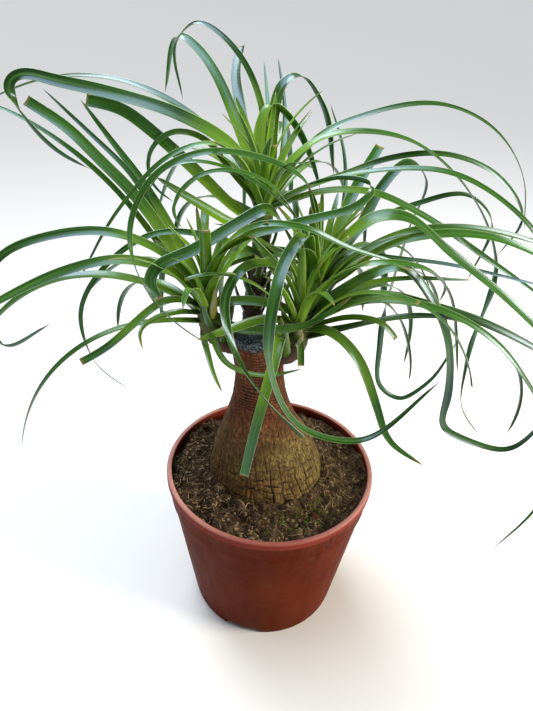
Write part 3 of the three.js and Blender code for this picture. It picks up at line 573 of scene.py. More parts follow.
# %% Trunk surface
CAP_RINGS = 14
CAP_DOME = 0.9
PASTE_EDGE = 259.5
paste_edge = PASTE_EDGE + 2.6 * lumps(on_trunk * [1, 1, 0], 7, 19) + 1.2 * lumps(on_trunk * [1, 1, 0], 3, 20)
pasted = ease((trunk_z - paste_edge) / 1.6)
paste_grain = lumps(on_trunk, 1.5, 21) + 0.6 * lumps(on_trunk, 3.6, 22)
trunk_out = trunk_r - (1 - pasted) * bark_depth + (1 - pasted) * swell + pasted * (0.25 + 0.32 * paste_grain)
cap_share = np.linspace(1, 0, CAP_RINGS + 1)[1:-1, None]
cap_r = cap_share * trunk_out[-1][None, :]
cap_flat = round_points(cap_r, trunk_angles, 0)
cap_z = TRUNK_TOP + CAP_DOME * (1 - cap_share**2)
cap_z = cap_z + 0.45 * lumps(cap_flat, 1.5, 23) + 0.4 * lumps(cap_flat, 4, 24)
all_r = np.concatenate([trunk_out, cap_r])
all_z = np.concatenate([trunk_z, cap_z])
all_lean = np.concatenate([trunk_lean, np.full_like(cap_r, trunk_shape[-1, 1])])
trunk_grid = round_points(all_r, trunk_angles, all_z)
trunk_grid[..., 0] -= all_lean
foot_pole = [-trunk_shape[0, 1], 0, TRUNK_FOOT - 0.5]
top_pole = [-trunk_shape[-1, 1], 0, TRUNK_TOP + 1]
trunk_points = np.concatenate([trunk_grid.reshape(-1, 3), [foot_pole, top_pole]])
trunk_faces = capped_faces(len(trunk_grid), TRUNK_COLUMNS)
# Plate edges beside the cracks, painted tan in the material as a painted highlight.
plate_edges = np.exp(-(((upright_gap - 2.1 * CRACK_WIDTH) / 0.5) ** 2)) * patchy * near_soil + 0.35 * crumbly
FRONT_HEADING = math.radians(262)
EAST_HEADING = math.radians(-20)
YOUNGER_BARK = (172, 216)
RUDDY_FRONT = (128, 158)
front = np.exp(-((((trunk_a - FRONT_HEADING + np.pi) % (2 * np.pi) - np.pi) / 0.75) ** 2))
younger = rise_between(trunk_z, *YOUNGER_BARK)
ruddy = 0.3 * front * rise_between(trunk_z, *RUDDY_FRONT) + 0.22 * lumps(on_trunk, 16, 25)
warm = np.clip(younger + ruddy, 0, 1)
# Olive and paler towards the right, where the warm light falls: partly the bark's own colour, partly painted
# light.
east = np.clip(0.5 + 0.6 * np.cos(trunk_a - EAST_HEADING) + 0.15 * lumps(on_trunk, 12, 29), 0, 1)
cap_zero = np.zeros_like(cap_r)


def over_cap(values, cap_value):
    """A trunk attribute with the cap's rings and the two poles put after it."""
    return np.concatenate([values.ravel(), (cap_zero + cap_value).ravel(), [0.0, cap_value]])


trunk_attributes = {
    "crack": over_cap(np.clip(cracks + 0.75 * rings * neck_share, 0, 1), 0),
    "fissure": over_cap(1 - fissures, 0),
    "warm": over_cap(warm, 0),
    "east": over_cap(east * (1 - younger), 0),
    "pasted": over_cap(pasted, 1),
    # The grain attribute carries the plate edges that get the painted highlight.
    "grain": over_cap(0.5 + 0.5 * plate_edges, 0.5),
}

# %% [markdown]
# ### Cork and paste
# Cork is matt. On the bulb it is brown, and olive and paler towards the right, where the warm light falls:
# partly the bark's own colour and partly painted light. The plate edges are painted tan, a painted highlight,
# the cracks are nearly black, and it turns red brown up the neck, where it is younger. The colour follows the
# attributes, noise of one to eleven millimetres breaks it up, and a net of fine cracks, drawn along the
# borders of random cells, covers the plates. The paste is a dark grey binder with paler grit.

# %% Trunk material
cork, shader = new_material("cracked_cork_bark", 0.88, IOR=1.45)
shader.inputs["Specular IOR Level"].default_value = 0.25
place = object_coords(cork)
patches = speckle(cork, 11, 4, place)
patchy_share = step_between(cork, patches, 0.35, 0.65)
fine = speckle(cork, 1.6, 4, place, (1, 1, 0.45))
brown = blend(cork, patchy_share, "#523a1d", "#73562e")
olive = blend(cork, patchy_share, "#6a5a30", "#907e4a")
red_brown = blend(cork, patchy_share, "#683820", "#8d5737")
# Olive towards the right: partly the bark's colour, partly painted light from the right.
bark = blend(cork, attribute(cork, "east"), brown, olive)
bark = blend(cork, attribute(cork, "warm"), bark, red_brown)
bark = blend(cork, step_between(cork, fine, 0.42, 0.68, 0.0, 0.5), bark, "#35220f")
bent_place = add(cork, "ShaderNodeMapping", {"Scale": (1, 1, 0.55)}, Vector=place).outputs["Vector"]
cells = add(
    cork, "ShaderNodeTexVoronoi", {"feature": "DISTANCE_TO_EDGE", "Scale": 1 / (3.4 * MM)}, Vector=bent_place
)
crackle = step_between(cork, cells.outputs["Distance"], 0.0, 0.09, 1.0, 0.0)
crackle_here = step_between(cork, patches, 0.4, 0.6, 0.25, 0.85)
crackled = reckon(cork, "MULTIPLY", crackle, crackle_here)
bark = blend(cork, crackled, bark, "#24160a")
fissured = step_between(cork, attribute(cork, "fissure"), 0.35, 0.8, 0.0, 0.5)
bark = blend(cork, fissured, bark, "#2e1d0e")
# The plate edges are painted tan: a painted highlight.
painted_edge_highlight = step_between(cork, attribute(cork, "grain"), 0.6, 0.95, 0.0, 0.35)
bark = blend(cork, painted_edge_highlight, bark, "#8f7440")
cracked = step_between(cork, attribute(cork, "crack"), 0.12, 0.6, 0.0, 0.9)
bark = blend(cork, cracked, bark, "#1d1108")
grit = speckle(cork, 1.3, 3, place)
paste = blend(cork, step_between(cork, grit, 0.42, 0.62), "#23282a", "#66717a")
skin_colour = blend(cork, attribute(cork, "pasted"), bark, paste)
corky = relief(cork, reckon(cork, "SUBTRACT", fine, crackled), 0.5, 0.7)
connect(cork, shader, Base_Color=skin_colour, Normal=corky)

# %% Trunk piece
trunk = make_mesh("corky_trunk", trunk_points, trunk_faces, cork, trunk_attributes)
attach(trunk, "root")
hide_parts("trunk")

# %% [markdown]
# ## The compost
# Potting compost is peat with bark crumbs and fibres. The bed of it is one closed skin: a floor, the inside
# of the pot's wall, a rough top and a hole that fits the trunk. A heap of separate crumbs and fibres lies
# on top, because it is their shadows that make it read as loose material.

# %% Compost bed
SEAT_GAP = 0.3
SOIL_MOUND = 6
SOIL_ROUGHNESS = 0.9
SOIL_COLUMNS = 420
SOIL_TOP_RINGS = 78
SOIL_FOOT = 7.3
HOLE_FLOOR = 77.0
HOLE_TOP = 136.0
TUCKED_IN = 1.2
LEAN_BURIED = 3
LEAN_AT_SOIL = 3.2
MOUND = (66, 44)


def bed_height(x, y):
    """The solid's own top: a low mound round the trunk and two slow waves."""
    mound = SOIL_MOUND * rise_between(np.hypot(x + LEAN_BURIED, y), *MOUND)
    slow = np.sin(x * 0.31 + 1.7) * np.cos(y * 0.27) + 0.6 * np.sin(x * 0.13 - y * 0.19)
    return SOIL_LEVEL + mound + SOIL_ROUGHNESS * slow


def rough_height(x, y):
    """The bed with lumps of 13, 6, 3 and 1.5 millimetres on it, each about one or two high."""
    flat = np.stack([x, y, 0 * x], axis=-1)
    heap = 1.6 * lumps(flat, 13, 31) + 1.9 * lumps(flat, 6, 32) + 1.5 * lumps(flat, 3, 33)
    return bed_height(x, y) + heap + 0.9 * lumps(flat, 1.5, 34)


soil_angles = np.linspace(0, 2 * np.pi, SOIL_COLUMNS, endpoint=False)
inside_wall = float(pot_radius(SOIL_LEVEL)) - WALL - 0.1
hole_r = float(smooth_levels(TRUNK_LEVELS, np.array([HOLE_TOP]))[0, 0]) - TUCKED_IN
outer_ring = round_points(inside_wall, soil_angles, 0)
inner_ring = round_points(hole_r, soil_angles, 0) - [LEAN_AT_SOIL, 0, 0]
bed_top = mix(outer_ring, inner_ring, np.linspace(0, 1, SOIL_TOP_RINGS)[:, None, None])
bed_top[..., 2] = rough_height(bed_top[..., 0], bed_top[..., 1])
soil_side = np.array([[62.3, SOIL_FOOT], [63.2, 9.5], [75.2, 100], [79.8, 118], [inside_wall, 130]])
bed_side = round_points(soil_side[:, :1], soil_angles, soil_side[:, 1:])
hole_z = np.array([126.0, 113, 99, 87, 80])
hole_size = smooth_levels(TRUNK_LEVELS, hole_z)[:, :1] + SEAT_GAP
bed_hole = round_points(hole_size, soil_angles, hole_z[:, None]) - [LEAN_BURIED, 0, 0]
bed = np.concatenate([bed_side, bed_top, bed_hole])
bed_points = np.concatenate([bed.reshape(-1, 3), [[0, 0, SOIL_FOOT], [-LEAN_BURIED, 0, HOLE_FLOOR]]])
bed_faces = capped_faces(len(bed), SOIL_COLUMNS)
print("compost bed rows:", len(bed))


# %% [markdown]
# ### Fibres and crumbs
# Thousands of small things are made at once: each array below has one axis for the piece, one for the place
# along it and one for the way round it. A fibre is a three-sided thread that bends and turns as it goes. A
# crumb is an icosahedron whose corners are pushed in and out.


# %% Loose material
FIBRE_PLACES = 5


def scatter(count, salt):
    """Places between trunk and wall: an angle, and a radius whose square is spread evenly."""
    n = np.arange(count)
    angle = 2 * np.pi * chance(n, salt)
    outer = inside_wall - 1.5
    inner = hole_r + 2.0
    r = np.sqrt(mix(inner**2, outer**2, chance(n, salt + 1)))
    lean = LEAN_AT_SOIL * (1 - (r - inner) / (outer - inner))
    return r * np.cos(angle) - lean, r * np.sin(angle)


def fibres(count, salt, longest, thickness):
    """Threads: the heading swings and the pitch bows along each, and three points stand round every place."""
    n = np.arange(count)
    x, y = scatter(count, salt)
    s = np.linspace(0, 1, FIBRE_PLACES)
    length = longest * (0.3 + 0.7 * chance(n, salt + 2) ** 2)
    heading = 2 * np.pi * chance(n, salt + 3)[:, None] + (3.4 * (chance(n, salt + 4) - 0.5))[:, None] * s
    pitch = mix(0.9, -0.9, s)[None] * (0.3 + 0.7 * chance(n, salt + 5))[:, None]
    stride = (length / (FIBRE_PLACES - 1))[:, None]
    dx = np.cos(heading) * np.cos(pitch) * stride
    dy = np.sin(heading) * np.cos(pitch) * stride
    dz = np.sin(pitch) * stride
    zero = np.zeros((count, 1))
    px = x[:, None] + np.concatenate([zero, np.cumsum(dx[:, :-1], axis=1)], axis=1)
    py = y[:, None] + np.concatenate([zero, np.cumsum(dy[:, :-1], axis=1)], axis=1)
    reach = np.hypot(px, py)
    held = np.minimum(1, (inside_wall - 0.8) / reach)
    px, py = px * held, py * held
    rise = np.concatenate([zero, np.cumsum(dz[:, :-1], axis=1)], axis=1)
    pz = rough_height(px, py) + 0.35 * rise + 0.2
    side = np.stack([-np.sin(heading), np.cos(heading), 0 * heading], axis=-1)
    up = np.array([0, 0, 1.0])
    size = (thickness * (0.6 + 0.8 * chance(n, salt + 6)))[:, None] * (1 - 0.6 * s**3)
    turn = np.radians([90, 210, 330])
    ring = np.stack([px, py, pz], axis=-1)[:, :, None, :] + size[:, :, None, None] * (
        np.cos(turn)[:, None] * side[:, :, None, :] + np.sin(turn)[:, None] * up
    )
    corners = 3 * FIBRE_PLACES
    faces = grid_faces(FIBRE_PLACES, 3)
    caps = np.array([[0, 2, 1], [corners - 3, corners - 2, corners - 1]])
    shift = (n * corners)[:, None, None]
    tone = np.repeat(chance(n, salt + 7), corners)
    return ring.reshape(-1, 3), (faces + shift).reshape(-1, 4), (caps + shift).reshape(-1, 3), tone


GOLDEN_RATIO = (1 + 5**0.5) / 2
CORNER_REACH = 1.9
ICOSA = np.array(
    [[a, b * GOLDEN_RATIO, 0] for b in (1, -1) for a in (-1, 1)]
    + [[0, a, b * GOLDEN_RATIO] for b in (1, -1) for a in (-1, 1)]
    + [[b * GOLDEN_RATIO, 0, a] for b in (1, -1) for a in (-1, 1)]
) / CORNER_REACH
ICOSA_FACES = np.array(
    [[0, 11, 5], [0, 5, 1], [0, 1, 7], [0, 7, 10], [0, 10, 11], [1, 5, 9], [5, 11, 4], [11, 10, 2],
     [10, 7, 6], [7, 1, 8], [3, 9, 4], [3, 4, 2], [3, 2, 6], [3, 6, 8], [3, 8, 9], [4, 9, 5],
     [2, 4, 11], [6, 2, 10], [8, 6, 7], [9, 8, 1]]
)


def crumbs(x, y, size, salt, flat=0.7):
    """Icosahedra at the places given: each corner is moved out or in by chance, and all are flattened."""
    count = len(x)
    n = np.arange(count)
    corner = np.arange(12)
    push = 0.65 + 0.7 * chance(n[:, None] * 12 + corner[None], salt)
    spin = 2 * np.pi * chance(n, salt + 1)[:, None]
    shape = ICOSA[None] * push[..., None] * np.asarray(size)[:, None, None]
    px = shape[..., 0] * np.cos(spin) - shape[..., 1] * np.sin(spin)
    py = shape[..., 0] * np.sin(spin) + shape[..., 1] * np.cos(spin)
    pz = shape[..., 2] * flat + (rough_height(x, y) + 0.25 * size)[:, None]
    points = np.stack([px + x[:, None], py + y[:, None], pz], axis=-1).reshape(-1, 3)
    faces = (ICOSA_FACES[None] + (n * 12)[:, None, None]).reshape(-1, 3)
    return points, faces, np.repeat(chance(n, salt + 2), 12)


def join_parts(parts):
    """One list of points and faces from several, each with its numbers moved past those before it."""
    points, faces, attributes, start = [], [], {}, 0
    for part_points, part_faces, part_values in parts:
        points.append(part_points)
        faces += [block + start for block in part_faces]
        for key, values in part_values.items():
            attributes.setdefault(key, []).append(values)
        start += len(part_points)
    return np.concatenate(points), faces, {key: np.concatenate(value) for key, value in attributes.items()}


FIBRES = 1900
THREADS = 240
CRUMBS = 1800
plain = 0 * bed_points[:, 0]
above_bed = bed_points[:, 2] - bed_height(bed_points[:, 0], bed_points[:, 1])
# The bed is painted darker in its hollows and paler on its lumps: painted shade.
bed_painted_shade = 0.7 * ease(above_bed / 5 + 0.35)
parts = [(bed_points, bed_faces, {"tone": bed_painted_shade, "straw": plain, "moss": plain})]
for count, salt, longest, thickness, straw in ((FIBRES, 41, 6.5, 0.42, 0.35), (THREADS, 51, 13, 0.3, 0.85)):
    p, quads, ends, tone = fibres(count, salt, longest, thickness)
    straws = straw * (tone > 0.66) * (0.4 + 0.6 * tone)
    parts.append((p, [quads, ends], {"tone": tone, "straw": straws, "moss": 0 * tone}))
cx, cy = scatter(CRUMBS, 61)
p, tris, tone = crumbs(cx, cy, 0.35 + 1.15 * chance(np.arange(CRUMBS), 65) ** 3, 63, 0.55)
parts.append((p, [tris], {"tone": 0.8 * tone, "straw": 0.2 * (tone > 0.9), "moss": 0 * tone}))

# %% [markdown]
# ### Moss and a bark chip
# A few things are placed where the photograph shows them, because the eye finds them: flecks of moss in
# front of the trunk and to its right, and one reddish chip of bark. The flecks are scattered by chance
# round one heading, closer together near its middle.

# %% Placed bits
MOSS = 210
MOSS_HEADING = -62
MOSS_FROM = 51
CHIP_X, CHIP_Y, CHIP_SIZE = 35.0, -51.0, 3.6
n = np.arange(MOSS)
moss_turn = np.radians(MOSS_HEADING + 50 * (chance(n, 71) - 0.5) + 16 * (chance(n, 72) - 0.5))
moss_out = MOSS_FROM + 20 * chance(n, 73) ** 1.3
mx, my = moss_out * np.cos(moss_turn), moss_out * np.sin(moss_turn)
p, tris, tone = crumbs(mx, my, 0.35 + 0.75 * chance(n, 74), 75, 0.8)
parts.append((p, [tris], {"tone": tone, "straw": 0 * tone, "moss": 1 + 0 * tone}))
p, tris, tone = crumbs(np.array([CHIP_X]), np.array([CHIP_Y]), np.array([CHIP_SIZE]), 78, 0.4)
parts.append((p, [tris], {"tone": tone, "straw": 0 * tone - 1, "moss": 0 * tone}))
soil_points, soil_faces, soil_values = join_parts(parts)

# %% [markdown]
# ### Damp and dry peat
# Peat is nearly black where it is damp and pale brown where it has dried. It is painted paler towards the
# right, a painted light from the right, and the bed is painted darker in its hollows and paler on its lumps,
# a painted shade. Patches of sixteen millimetres and crumbs of two break its colour up. The loose pieces
# bring their own tone: a part of the fibres is straw coloured, the chip is red brown and the moss is green.

# %% Compost material
compost, shader = new_material("peat_and_bark_compost", 0.94, IOR=1.4)
shader.inputs["Specular IOR Level"].default_value = 0.2
place = object_coords(compost)
damp = speckle(compost, 16, 4, place)
crumb = speckle(compost, 1.8, 4, place)
peat = blend(compost, step_between(compost, damp, 0.35, 0.65), "#0e0804", "#3c2e20")
peat = blend(compost, step_between(compost, crumb, 0.5, 0.7, 0.0, 0.5), peat, "#644e37")
# The peat is painted paler towards the right: painted light from the right.
painted_light_from_right = step_between(compost, along_axis(compost, place, "X"), -20 * MM, 70 * MM, 0.0, 0.22)
peat = blend(compost, painted_light_from_right, peat, "#7a664a")
# The tone is the loose pieces' own tone, and the bed's painted shade.
tone_and_bed_shade = step_between(compost, attribute(compost, "tone"), 0.25, 1.0, 0.0, 0.6)
peat = blend(compost, tone_and_bed_shade, peat, "#7b6447")
strawy = step_between(compost, attribute(compost, "straw"), 0.0, 0.8, 0.0, 0.9)
peat = blend(compost, strawy, peat, "#bca47c")
peat = blend(compost, step_between(compost, attribute(compost, "straw"), 0.0, -1.0), peat, "#3f2318")
peat = blend(compost, attribute(compost, "moss"), peat, "#4c5622")
connect(compost, shader, Base_Color=peat, Normal=relief(compost, crumb, 0.5, 0.7))

# %% Compost piece
soil = make_mesh("peat_compost", soil_points, soil_faces, compost, soil_values)
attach(soil, "root")
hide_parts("soil")

# %% [markdown]
# ## The camera of the photograph
# The camera is needed twice: here, to trace the leaves along its sight lines, and at the end, to render from
# the same place. Where it stood, how far it looked down and how it leaned were worked out from the ellipses
# of the pot's rim and foot. A sight line is the straight line from the camera through one pixel.

# %% Sight lines
PICTURE_WIDTH = 533
PICTURE_HEIGHT = 711
FOCAL_PIXELS = 534
CAMERA_PLACE = np.array([-7.1, -331.3, 453.1])
CAMERA_PITCH = math.radians(32.15)
CAMERA_ROLL = math.radians(2.75)
camera_ahead = np.array([0, math.cos(CAMERA_PITCH), -math.sin(CAMERA_PITCH)])
camera_upright = np.array([0, math.sin(CAMERA_PITCH), math.cos(CAMERA_PITCH)])
camera_right = np.array([math.cos(CAMERA_ROLL), 0, 0]) + math.sin(CAMERA_ROLL) * camera_upright
camera_up = np.cross(camera_right, camera_ahead)


def to_picture(point):
    """Pixels from the left and from the top: focal length times sideways offset over the distance ahead."""
    away = point - CAMERA_PLACE
    scale = FOCAL_PIXELS / (away @ camera_ahead)
    return [PICTURE_WIDTH / 2 + away @ camera_right * scale, PICTURE_HEIGHT / 2 - away @ camera_up * scale]


def on_sight_lines(marks, y):
    """The points at the given y on the sight lines through pixels: camera + line (y - camera y) / line y."""
    across = (marks[:, :1] - PICTURE_WIDTH / 2) / FOCAL_PIXELS
    upward = (PICTURE_HEIGHT / 2 - marks[:, 1:]) / FOCAL_PIXELS
    lines = camera_ahead + across * camera_right + upward * camera_up
    return CAMERA_PLACE + lines * ((y - CAMERA_PLACE[1]) / lines[:, 1])[:, None]


# %% [markdown]
# ## Leaves: the rule
# The photograph shows sixty-two leaves well enough to trace. Each is one row here: how wide it is, whether
# it was cut or ends in a point, how high its root sits, how far behind the root it lies along its way, and
# its course as read in pixels. Tracing was preferred to a growth rule for these, because a viewer
# knows the plant by its large leaves. The leaves that the photograph hides are filled in by a rule: they
# follow one another round the shoot by the golden angle of 137.5 degrees, young ones upright in the heart
# and old ones low and hanging, as in a real rosette.

# %% Shoots
CUT, POINTED = 1, 0
WIDE_FROM = 6
STEEP = 0.5
YOUNG, OLD = 0.7, 0.15


def traced(width, end, level, back, *picture):
    """A seen leaf. back is its distance behind the root, in millimetres at even shares of its course, the
    last one at the tip, and below zero it lies in front. picture is its course in pixels. The wide leaves
    that start steeply are the young ones, yellow green for a longer way."""
    (start_across, start_down), (next_across, next_down) = picture[:2]
    rising = start_down - next_down > STEEP * abs(next_across - start_across)
    youth = YOUNG if width > WIDE_FROM and rising else OLD
    return {"width": width, "end": end, "level": level, "back": back, "picture": picture, "youth": youth}


SHOOTS = [
  {
    "name": "shoot_left",
    "stem": [
      [-26, -1, 250, 5],
      [-37, -1, 254, 6.5],
      [-46, 0, 263, 7.5],
      [-50, 0, 277, 7],
      [-50, 0, 292, 5.5],
      [-50, 0, 304, 2.5],
    ],
    "seen": [
      traced(9, CUT, 0, [45], [190, 285], [161, 230], [132, 192], [98, 158], [69, 129], [26, 100]),
      traced(7, POINTED, 0, [60], [195, 280], [172, 230], [143, 182], [115, 145], [80, 99]),
      traced(5, POINTED, 0, [55], [170, 244], [132, 175], [92, 135], [42, 88]),
      traced(5, POINTED, 0, [40], [190, 290], [149, 230], [121, 195], [57, 139], [0, 107], [-50, 93]),
      traced(7, POINTED, 6, [-30, -50, -60], [165, 254], [112, 232], [52, 235], [0, 256], [-20, 290],
        [0, 344], [52, 323]),
      traced(8, POINTED, 0, [-70], [189, 283], [164, 268], [121, 259], [69, 269], [0, 300], [-60, 336]),
      traced(6, CUT, -4, [-60], [200, 309], [181, 299], [164, 300], [146, 313], [103, 350], [81, 362]),
      traced(5, POINTED, -4, [-42], [201, 314], [181, 311], [155, 318], [138, 330], [143, 350]),
      traced(5, POINTED, -12, [-25], [203, 326], [207, 349], [213, 373], [222, 392]),
      traced(5, POINTED, -12, [-28, -38, -34], [212, 335], [224, 362], [265, 376], [302, 369]),
      traced(7, CUT, -2, [30], [206, 283], [219, 269], [259, 255], [306, 255]),
      traced(7, POINTED, 6, [-25, -20, 10], [215, 260], [239, 240], [300, 222], [369, 197], [376, 187],
        [345, 177], [303, 186]),
      traced(8, POINTED, -4, [-30], [240, 330], [276, 330], [305, 326], [352, 297]),
      traced(8, CUT, -2, [-8], [207, 310], [235, 301], [270, 303], [290, 310]),
      traced(8, POINTED, 6, [10, 15], [212, 272], [230, 258], [252, 251], [285, 250], [320, 261]),
      traced(5, POINTED, 2, [-16, 0], [204, 285], [214, 260], [236, 234], [264, 223], [300, 226],
        [350, 248], [405, 264]),
    ],
    "unseen": 10,
    "long_from": 60,
    "long_to": 215,
  },
  {
    "name": "shoot_back",
    "stem": [
      [-18, 17, 250, 7],
      [-19, 25, 262, 8],
      [-18, 35, 283, 7],
      [-15, 41, 312, 6.5],
      [-14, 42, 335, 7],
      [-14, 42, 352, 5],
      [-14, 42, 364, 2.5],
    ],
    "seen": [
      traced(11, POINTED, 0, [5, 0, -15], [235, 150], [180, 115], [115, 94], [57, 81], [15, 74],
        [6, 83], [17, 106], [57, 151], [90, 169]),
      traced(6, POINTED, 8, [70], [245, 168], [180, 106], [138, 85], [69, 75], [0, 94], [-34, 114]),
      traced(10, CUT, -14, [10], [235, 209], [200, 175], [154, 133], [120, 108], [86, 100]),
      traced(9, POINTED, 4, [100], [248, 152], [232, 110], [215, 72], [198, 48], [181, 34], [165, 93]),
      traced(5, POINTED, 4, [70], [262, 107], [250, 72], [215, 29], [198, 20], [176, 40], [183, 100]),
      traced(10, CUT, -2, [140], [255, 190], [241, 110], [236, 69], [241, 46]),
      traced(9, POINTED, 0, [60], [270, 170], [275, 107], [283, 81], [298, 73], [321, 101], [334, 175]),
      traced(9, POINTED, 6, [35], [262, 120], [270, 101], [286, 113], [307, 147], [320, 188]),
      traced(5, POINTED, 0, [110], [268, 190], [269, 121], [264, 60]),
      traced(5, POINTED, 0, [120], [275, 190], [283, 150], [285, 110], [278, 57]),
      traced(10, CUT, 0, [80], [268, 203], [268, 142], [263, 103]),
      traced(4, POINTED, 8, [-15], [229, 170], [206, 172], [189, 183], [172, 215], [184, 230]),
      traced(4, POINTED, 0, [-35], [226, 145], [200, 143], [177, 151], [121, 206], [78, 282]),
      traced(5, POINTED, 0, [5], [229, 169], [206, 139], [172, 131], [149, 152], [153, 186], [174, 202]),
      traced(7, POINTED, 8, [20], [281, 172], [327, 135], [362, 131], [408, 139], [460, 179],
        [496, 259], [467, 360], [462, 409], [482, 439]),
      traced(5, POINTED, 6, [50], [285, 175], [324, 132], [364, 115], [443, 104], [495, 129],
        [523, 174], [524, 234]),
      traced(5, POINTED, 0, [25], [300, 190], [347, 173], [382, 160], [447, 154], [505, 182],
        [523, 221], [496, 257]),
      traced(5, POINTED, -4, [-50], [270, 223], [310, 228], [364, 252], [447, 264], [560, 290]),
      traced(6, POINTED, 0, [-10], [330, 190], [373, 192], [421, 214], [485, 257], [580, 325]),
      traced(5, POINTED, 0, [-30, -70, -110], [300, 190], [380, 170], [450, 172], [520, 215],
        [575, 380], [533, 512], [489, 552]),
      traced(9, POINTED, -16, [-20], [235, 226], [215, 214], [180, 192], [156, 177]),
    ],
    "unseen": 9,
    "long_from": 40,
    "long_to": 165,
  },
  {
    "name": "shoot_right_back",
    "stem": [
      [-1, 11, 252, 5.5],
      [10, 14, 258, 7],
      [21, 18, 269, 7.5],
      [26, 20, 283, 7],
      [26, 20, 298, 5.5],
      [26, 20, 310, 2.5],
    ],
    "seen": [
      traced(10, CUT, 0, [-45], [300, 260], [280, 220], [270, 207], [246, 219], [192, 251], [150, 274],
        [148, 283], [158, 300]),
      traced(8, POINTED, 0, [-75, -80, -60], [310, 262], [306, 232], [285, 260], [276, 291], [269, 331],
        [269, 363], [300, 427], [359, 441], [442, 380]),
      traced(7, CUT, 0, [-50, -75, -90], [276, 265], [260, 262], [243, 267], [225, 296], [230, 340],
        [265, 399], [303, 438]),
      traced(5, POINTED, 0, [-40], [300, 222], [268, 190], [232, 169], [185, 161], [160, 171], [148, 192]),
      traced(4, POINTED, 0, [-45], [297, 218], [265, 180], [228, 169], [197, 175], [172, 207], [180, 228]),
      traced(5, POINTED, 0, [160], [325, 265], [344, 203], [344, 152], [330, 103]),
      traced(5, POINTED, 0, [-20, -50, -60], [300, 175], [252, 155], [200, 152], [154, 175], [129, 232],
        [146, 290], [189, 333], [217, 349]),
      traced(5, POINTED, 0, [-55], [270, 259], [224, 240], [155, 233], [112, 259], [80, 314], [96, 364],
        [133, 392]),
      traced(8, POINTED, 0, [70, 70, 60], [335, 260], [365, 218], [382, 186], [413, 161], [426, 175],
        [408, 231], [380, 345], [382, 389], [399, 399], [425, 385], [460, 337]),
      traced(10, CUT, 0, [85], [330, 255], [349, 202], [366, 169], [380, 146]),
      traced(5, POINTED, 6, [50], [340, 250], [375, 220], [413, 205], [470, 195], [492, 218], [466, 283]),
      traced(11, POINTED, 2, [-20], [338, 247], [356, 228], [382, 215], [401, 215], [447, 250],
        [533, 324], [605, 420]),
      traced(8, POINTED, 0, [20], [342, 276], [382, 247], [421, 236], [492, 237], [533, 252], [600, 300]),
      traced(6, POINTED, 2, [45], [350, 260], [408, 231], [447, 227], [533, 241], [580, 262]),
      traced(5, POINTED, 0, [-15], [380, 262], [417, 265], [446, 288], [439, 302]),
    ],
    "unseen": 10,
    "long_from": 25,
    "long_to": 125,
  },
  {
    "name": "shoot_right_front",
    "stem": [
      [0, -8, 250, 5.5],
      [7, -9, 253, 8],
      [12, -8, 260, 8.5],
      [14, -8, 271, 7.5],
      [14, -8, 286, 5.5],
      [14, -8, 298, 2.5],
    ],
    "seen": [
      traced(8, CUT, -2, [-40, -55, -62], [283, 330], [276, 355], [262, 405], [251, 446], [244, 476]),
      traced(8, POINTED, 2, [-28], [265, 319], [234, 328], [197, 340]),
      traced(8, POINTED, 0, [-20], [370, 275], [400, 265], [427, 292], [444, 325], [448, 396],
        [442, 426], [469, 441], [505, 450], [560, 405]),
      traced(8, POINTED, 0, [-15], [347, 302], [382, 295], [425, 304], [469, 317], [533, 347], [600, 395]),
      traced(6, POINTED, 0, [-40], [370, 300], [442, 310], [496, 342], [533, 391], [560, 440]),
      traced(8, POINTED, -3, [-50], [306, 330], [319, 328], [335, 334], [356, 355], [376, 404],
        [389, 441], [424, 466]),
      traced(5, CUT, -2, [-10], [320, 324], [346, 317], [386, 325], [396, 339]),
      traced(6, POINTED, 2, [60], [302, 320], [341, 289], [377, 271], [410, 264]),
      traced(5, POINTED, 0, [35], [357, 286], [386, 280], [472, 280]),
      traced(6, CUT, -10, [-16], [297, 330], [300, 340], [301, 366]),
    ],
    "unseen": 8,
    "long_from": -30,
    "long_to": 70,
  },
]
print("shoots:", len(SHOOTS), "traced leaves:", sum(len(shoot["seen"]) for shoot in SHOOTS))

# %% [markdown]
# ### The course of a leaf
# A traced leaf starts at its root, and each pixel read from the photograph puts one more knot on a sight
# line, as far back as the leaf's own distances say. A smooth curve through the knots, evened out a little,
# is the course. A hidden leaf grows in steps of two millimetres instead. At each step its slope is the rise
# at the root, blended into the fall across the bend, and its heading turns with the square of the distance.
# A cumulative sum of the steps gives its points.

# %% Leaf course
BLADE_SPANS = 12
BLADE_STEP = 2
BEND_WEIGHT = 42
TIP_WIDTH = 1.1
SHEATH_SPREAD = 0.35
TWIST_MOST = 26
FACING_TWIST = 45
FACING_PLACE = 0.4
ROLL_UP_START = 0.65
SOFTENING = 18
LEVELLING = 60
GOLDEN_ANGLE = 137.508
ROOT_LEVEL = -3
ROOT_LIFT = 4


def unit(vectors):
    """Each vector divided by its length."""
    return vectors / np.linalg.norm(vectors, axis=-1, keepdims=True)


def run_of(points):
    """Running total of the distances between points that follow one another."""
    return np.concatenate([[0], np.cumsum(np.linalg.norm(np.diff(points, axis=0), axis=1))])


def soften(rows, passes, hold_ends):
    """Each row becomes half of itself and a quarter of either neighbour, many times over."""
    soft = np.array(rows, float)
    for _ in range(passes):
        wide = np.concatenate([soft[:1], soft, soft[-1:]])
        evened = (wide[:-2] + 2 * soft + wide[2:]) / 4
        if hold_ends:
            evened[[0, -1]] = soft[[0, -1]]
        soft = evened
    return soft


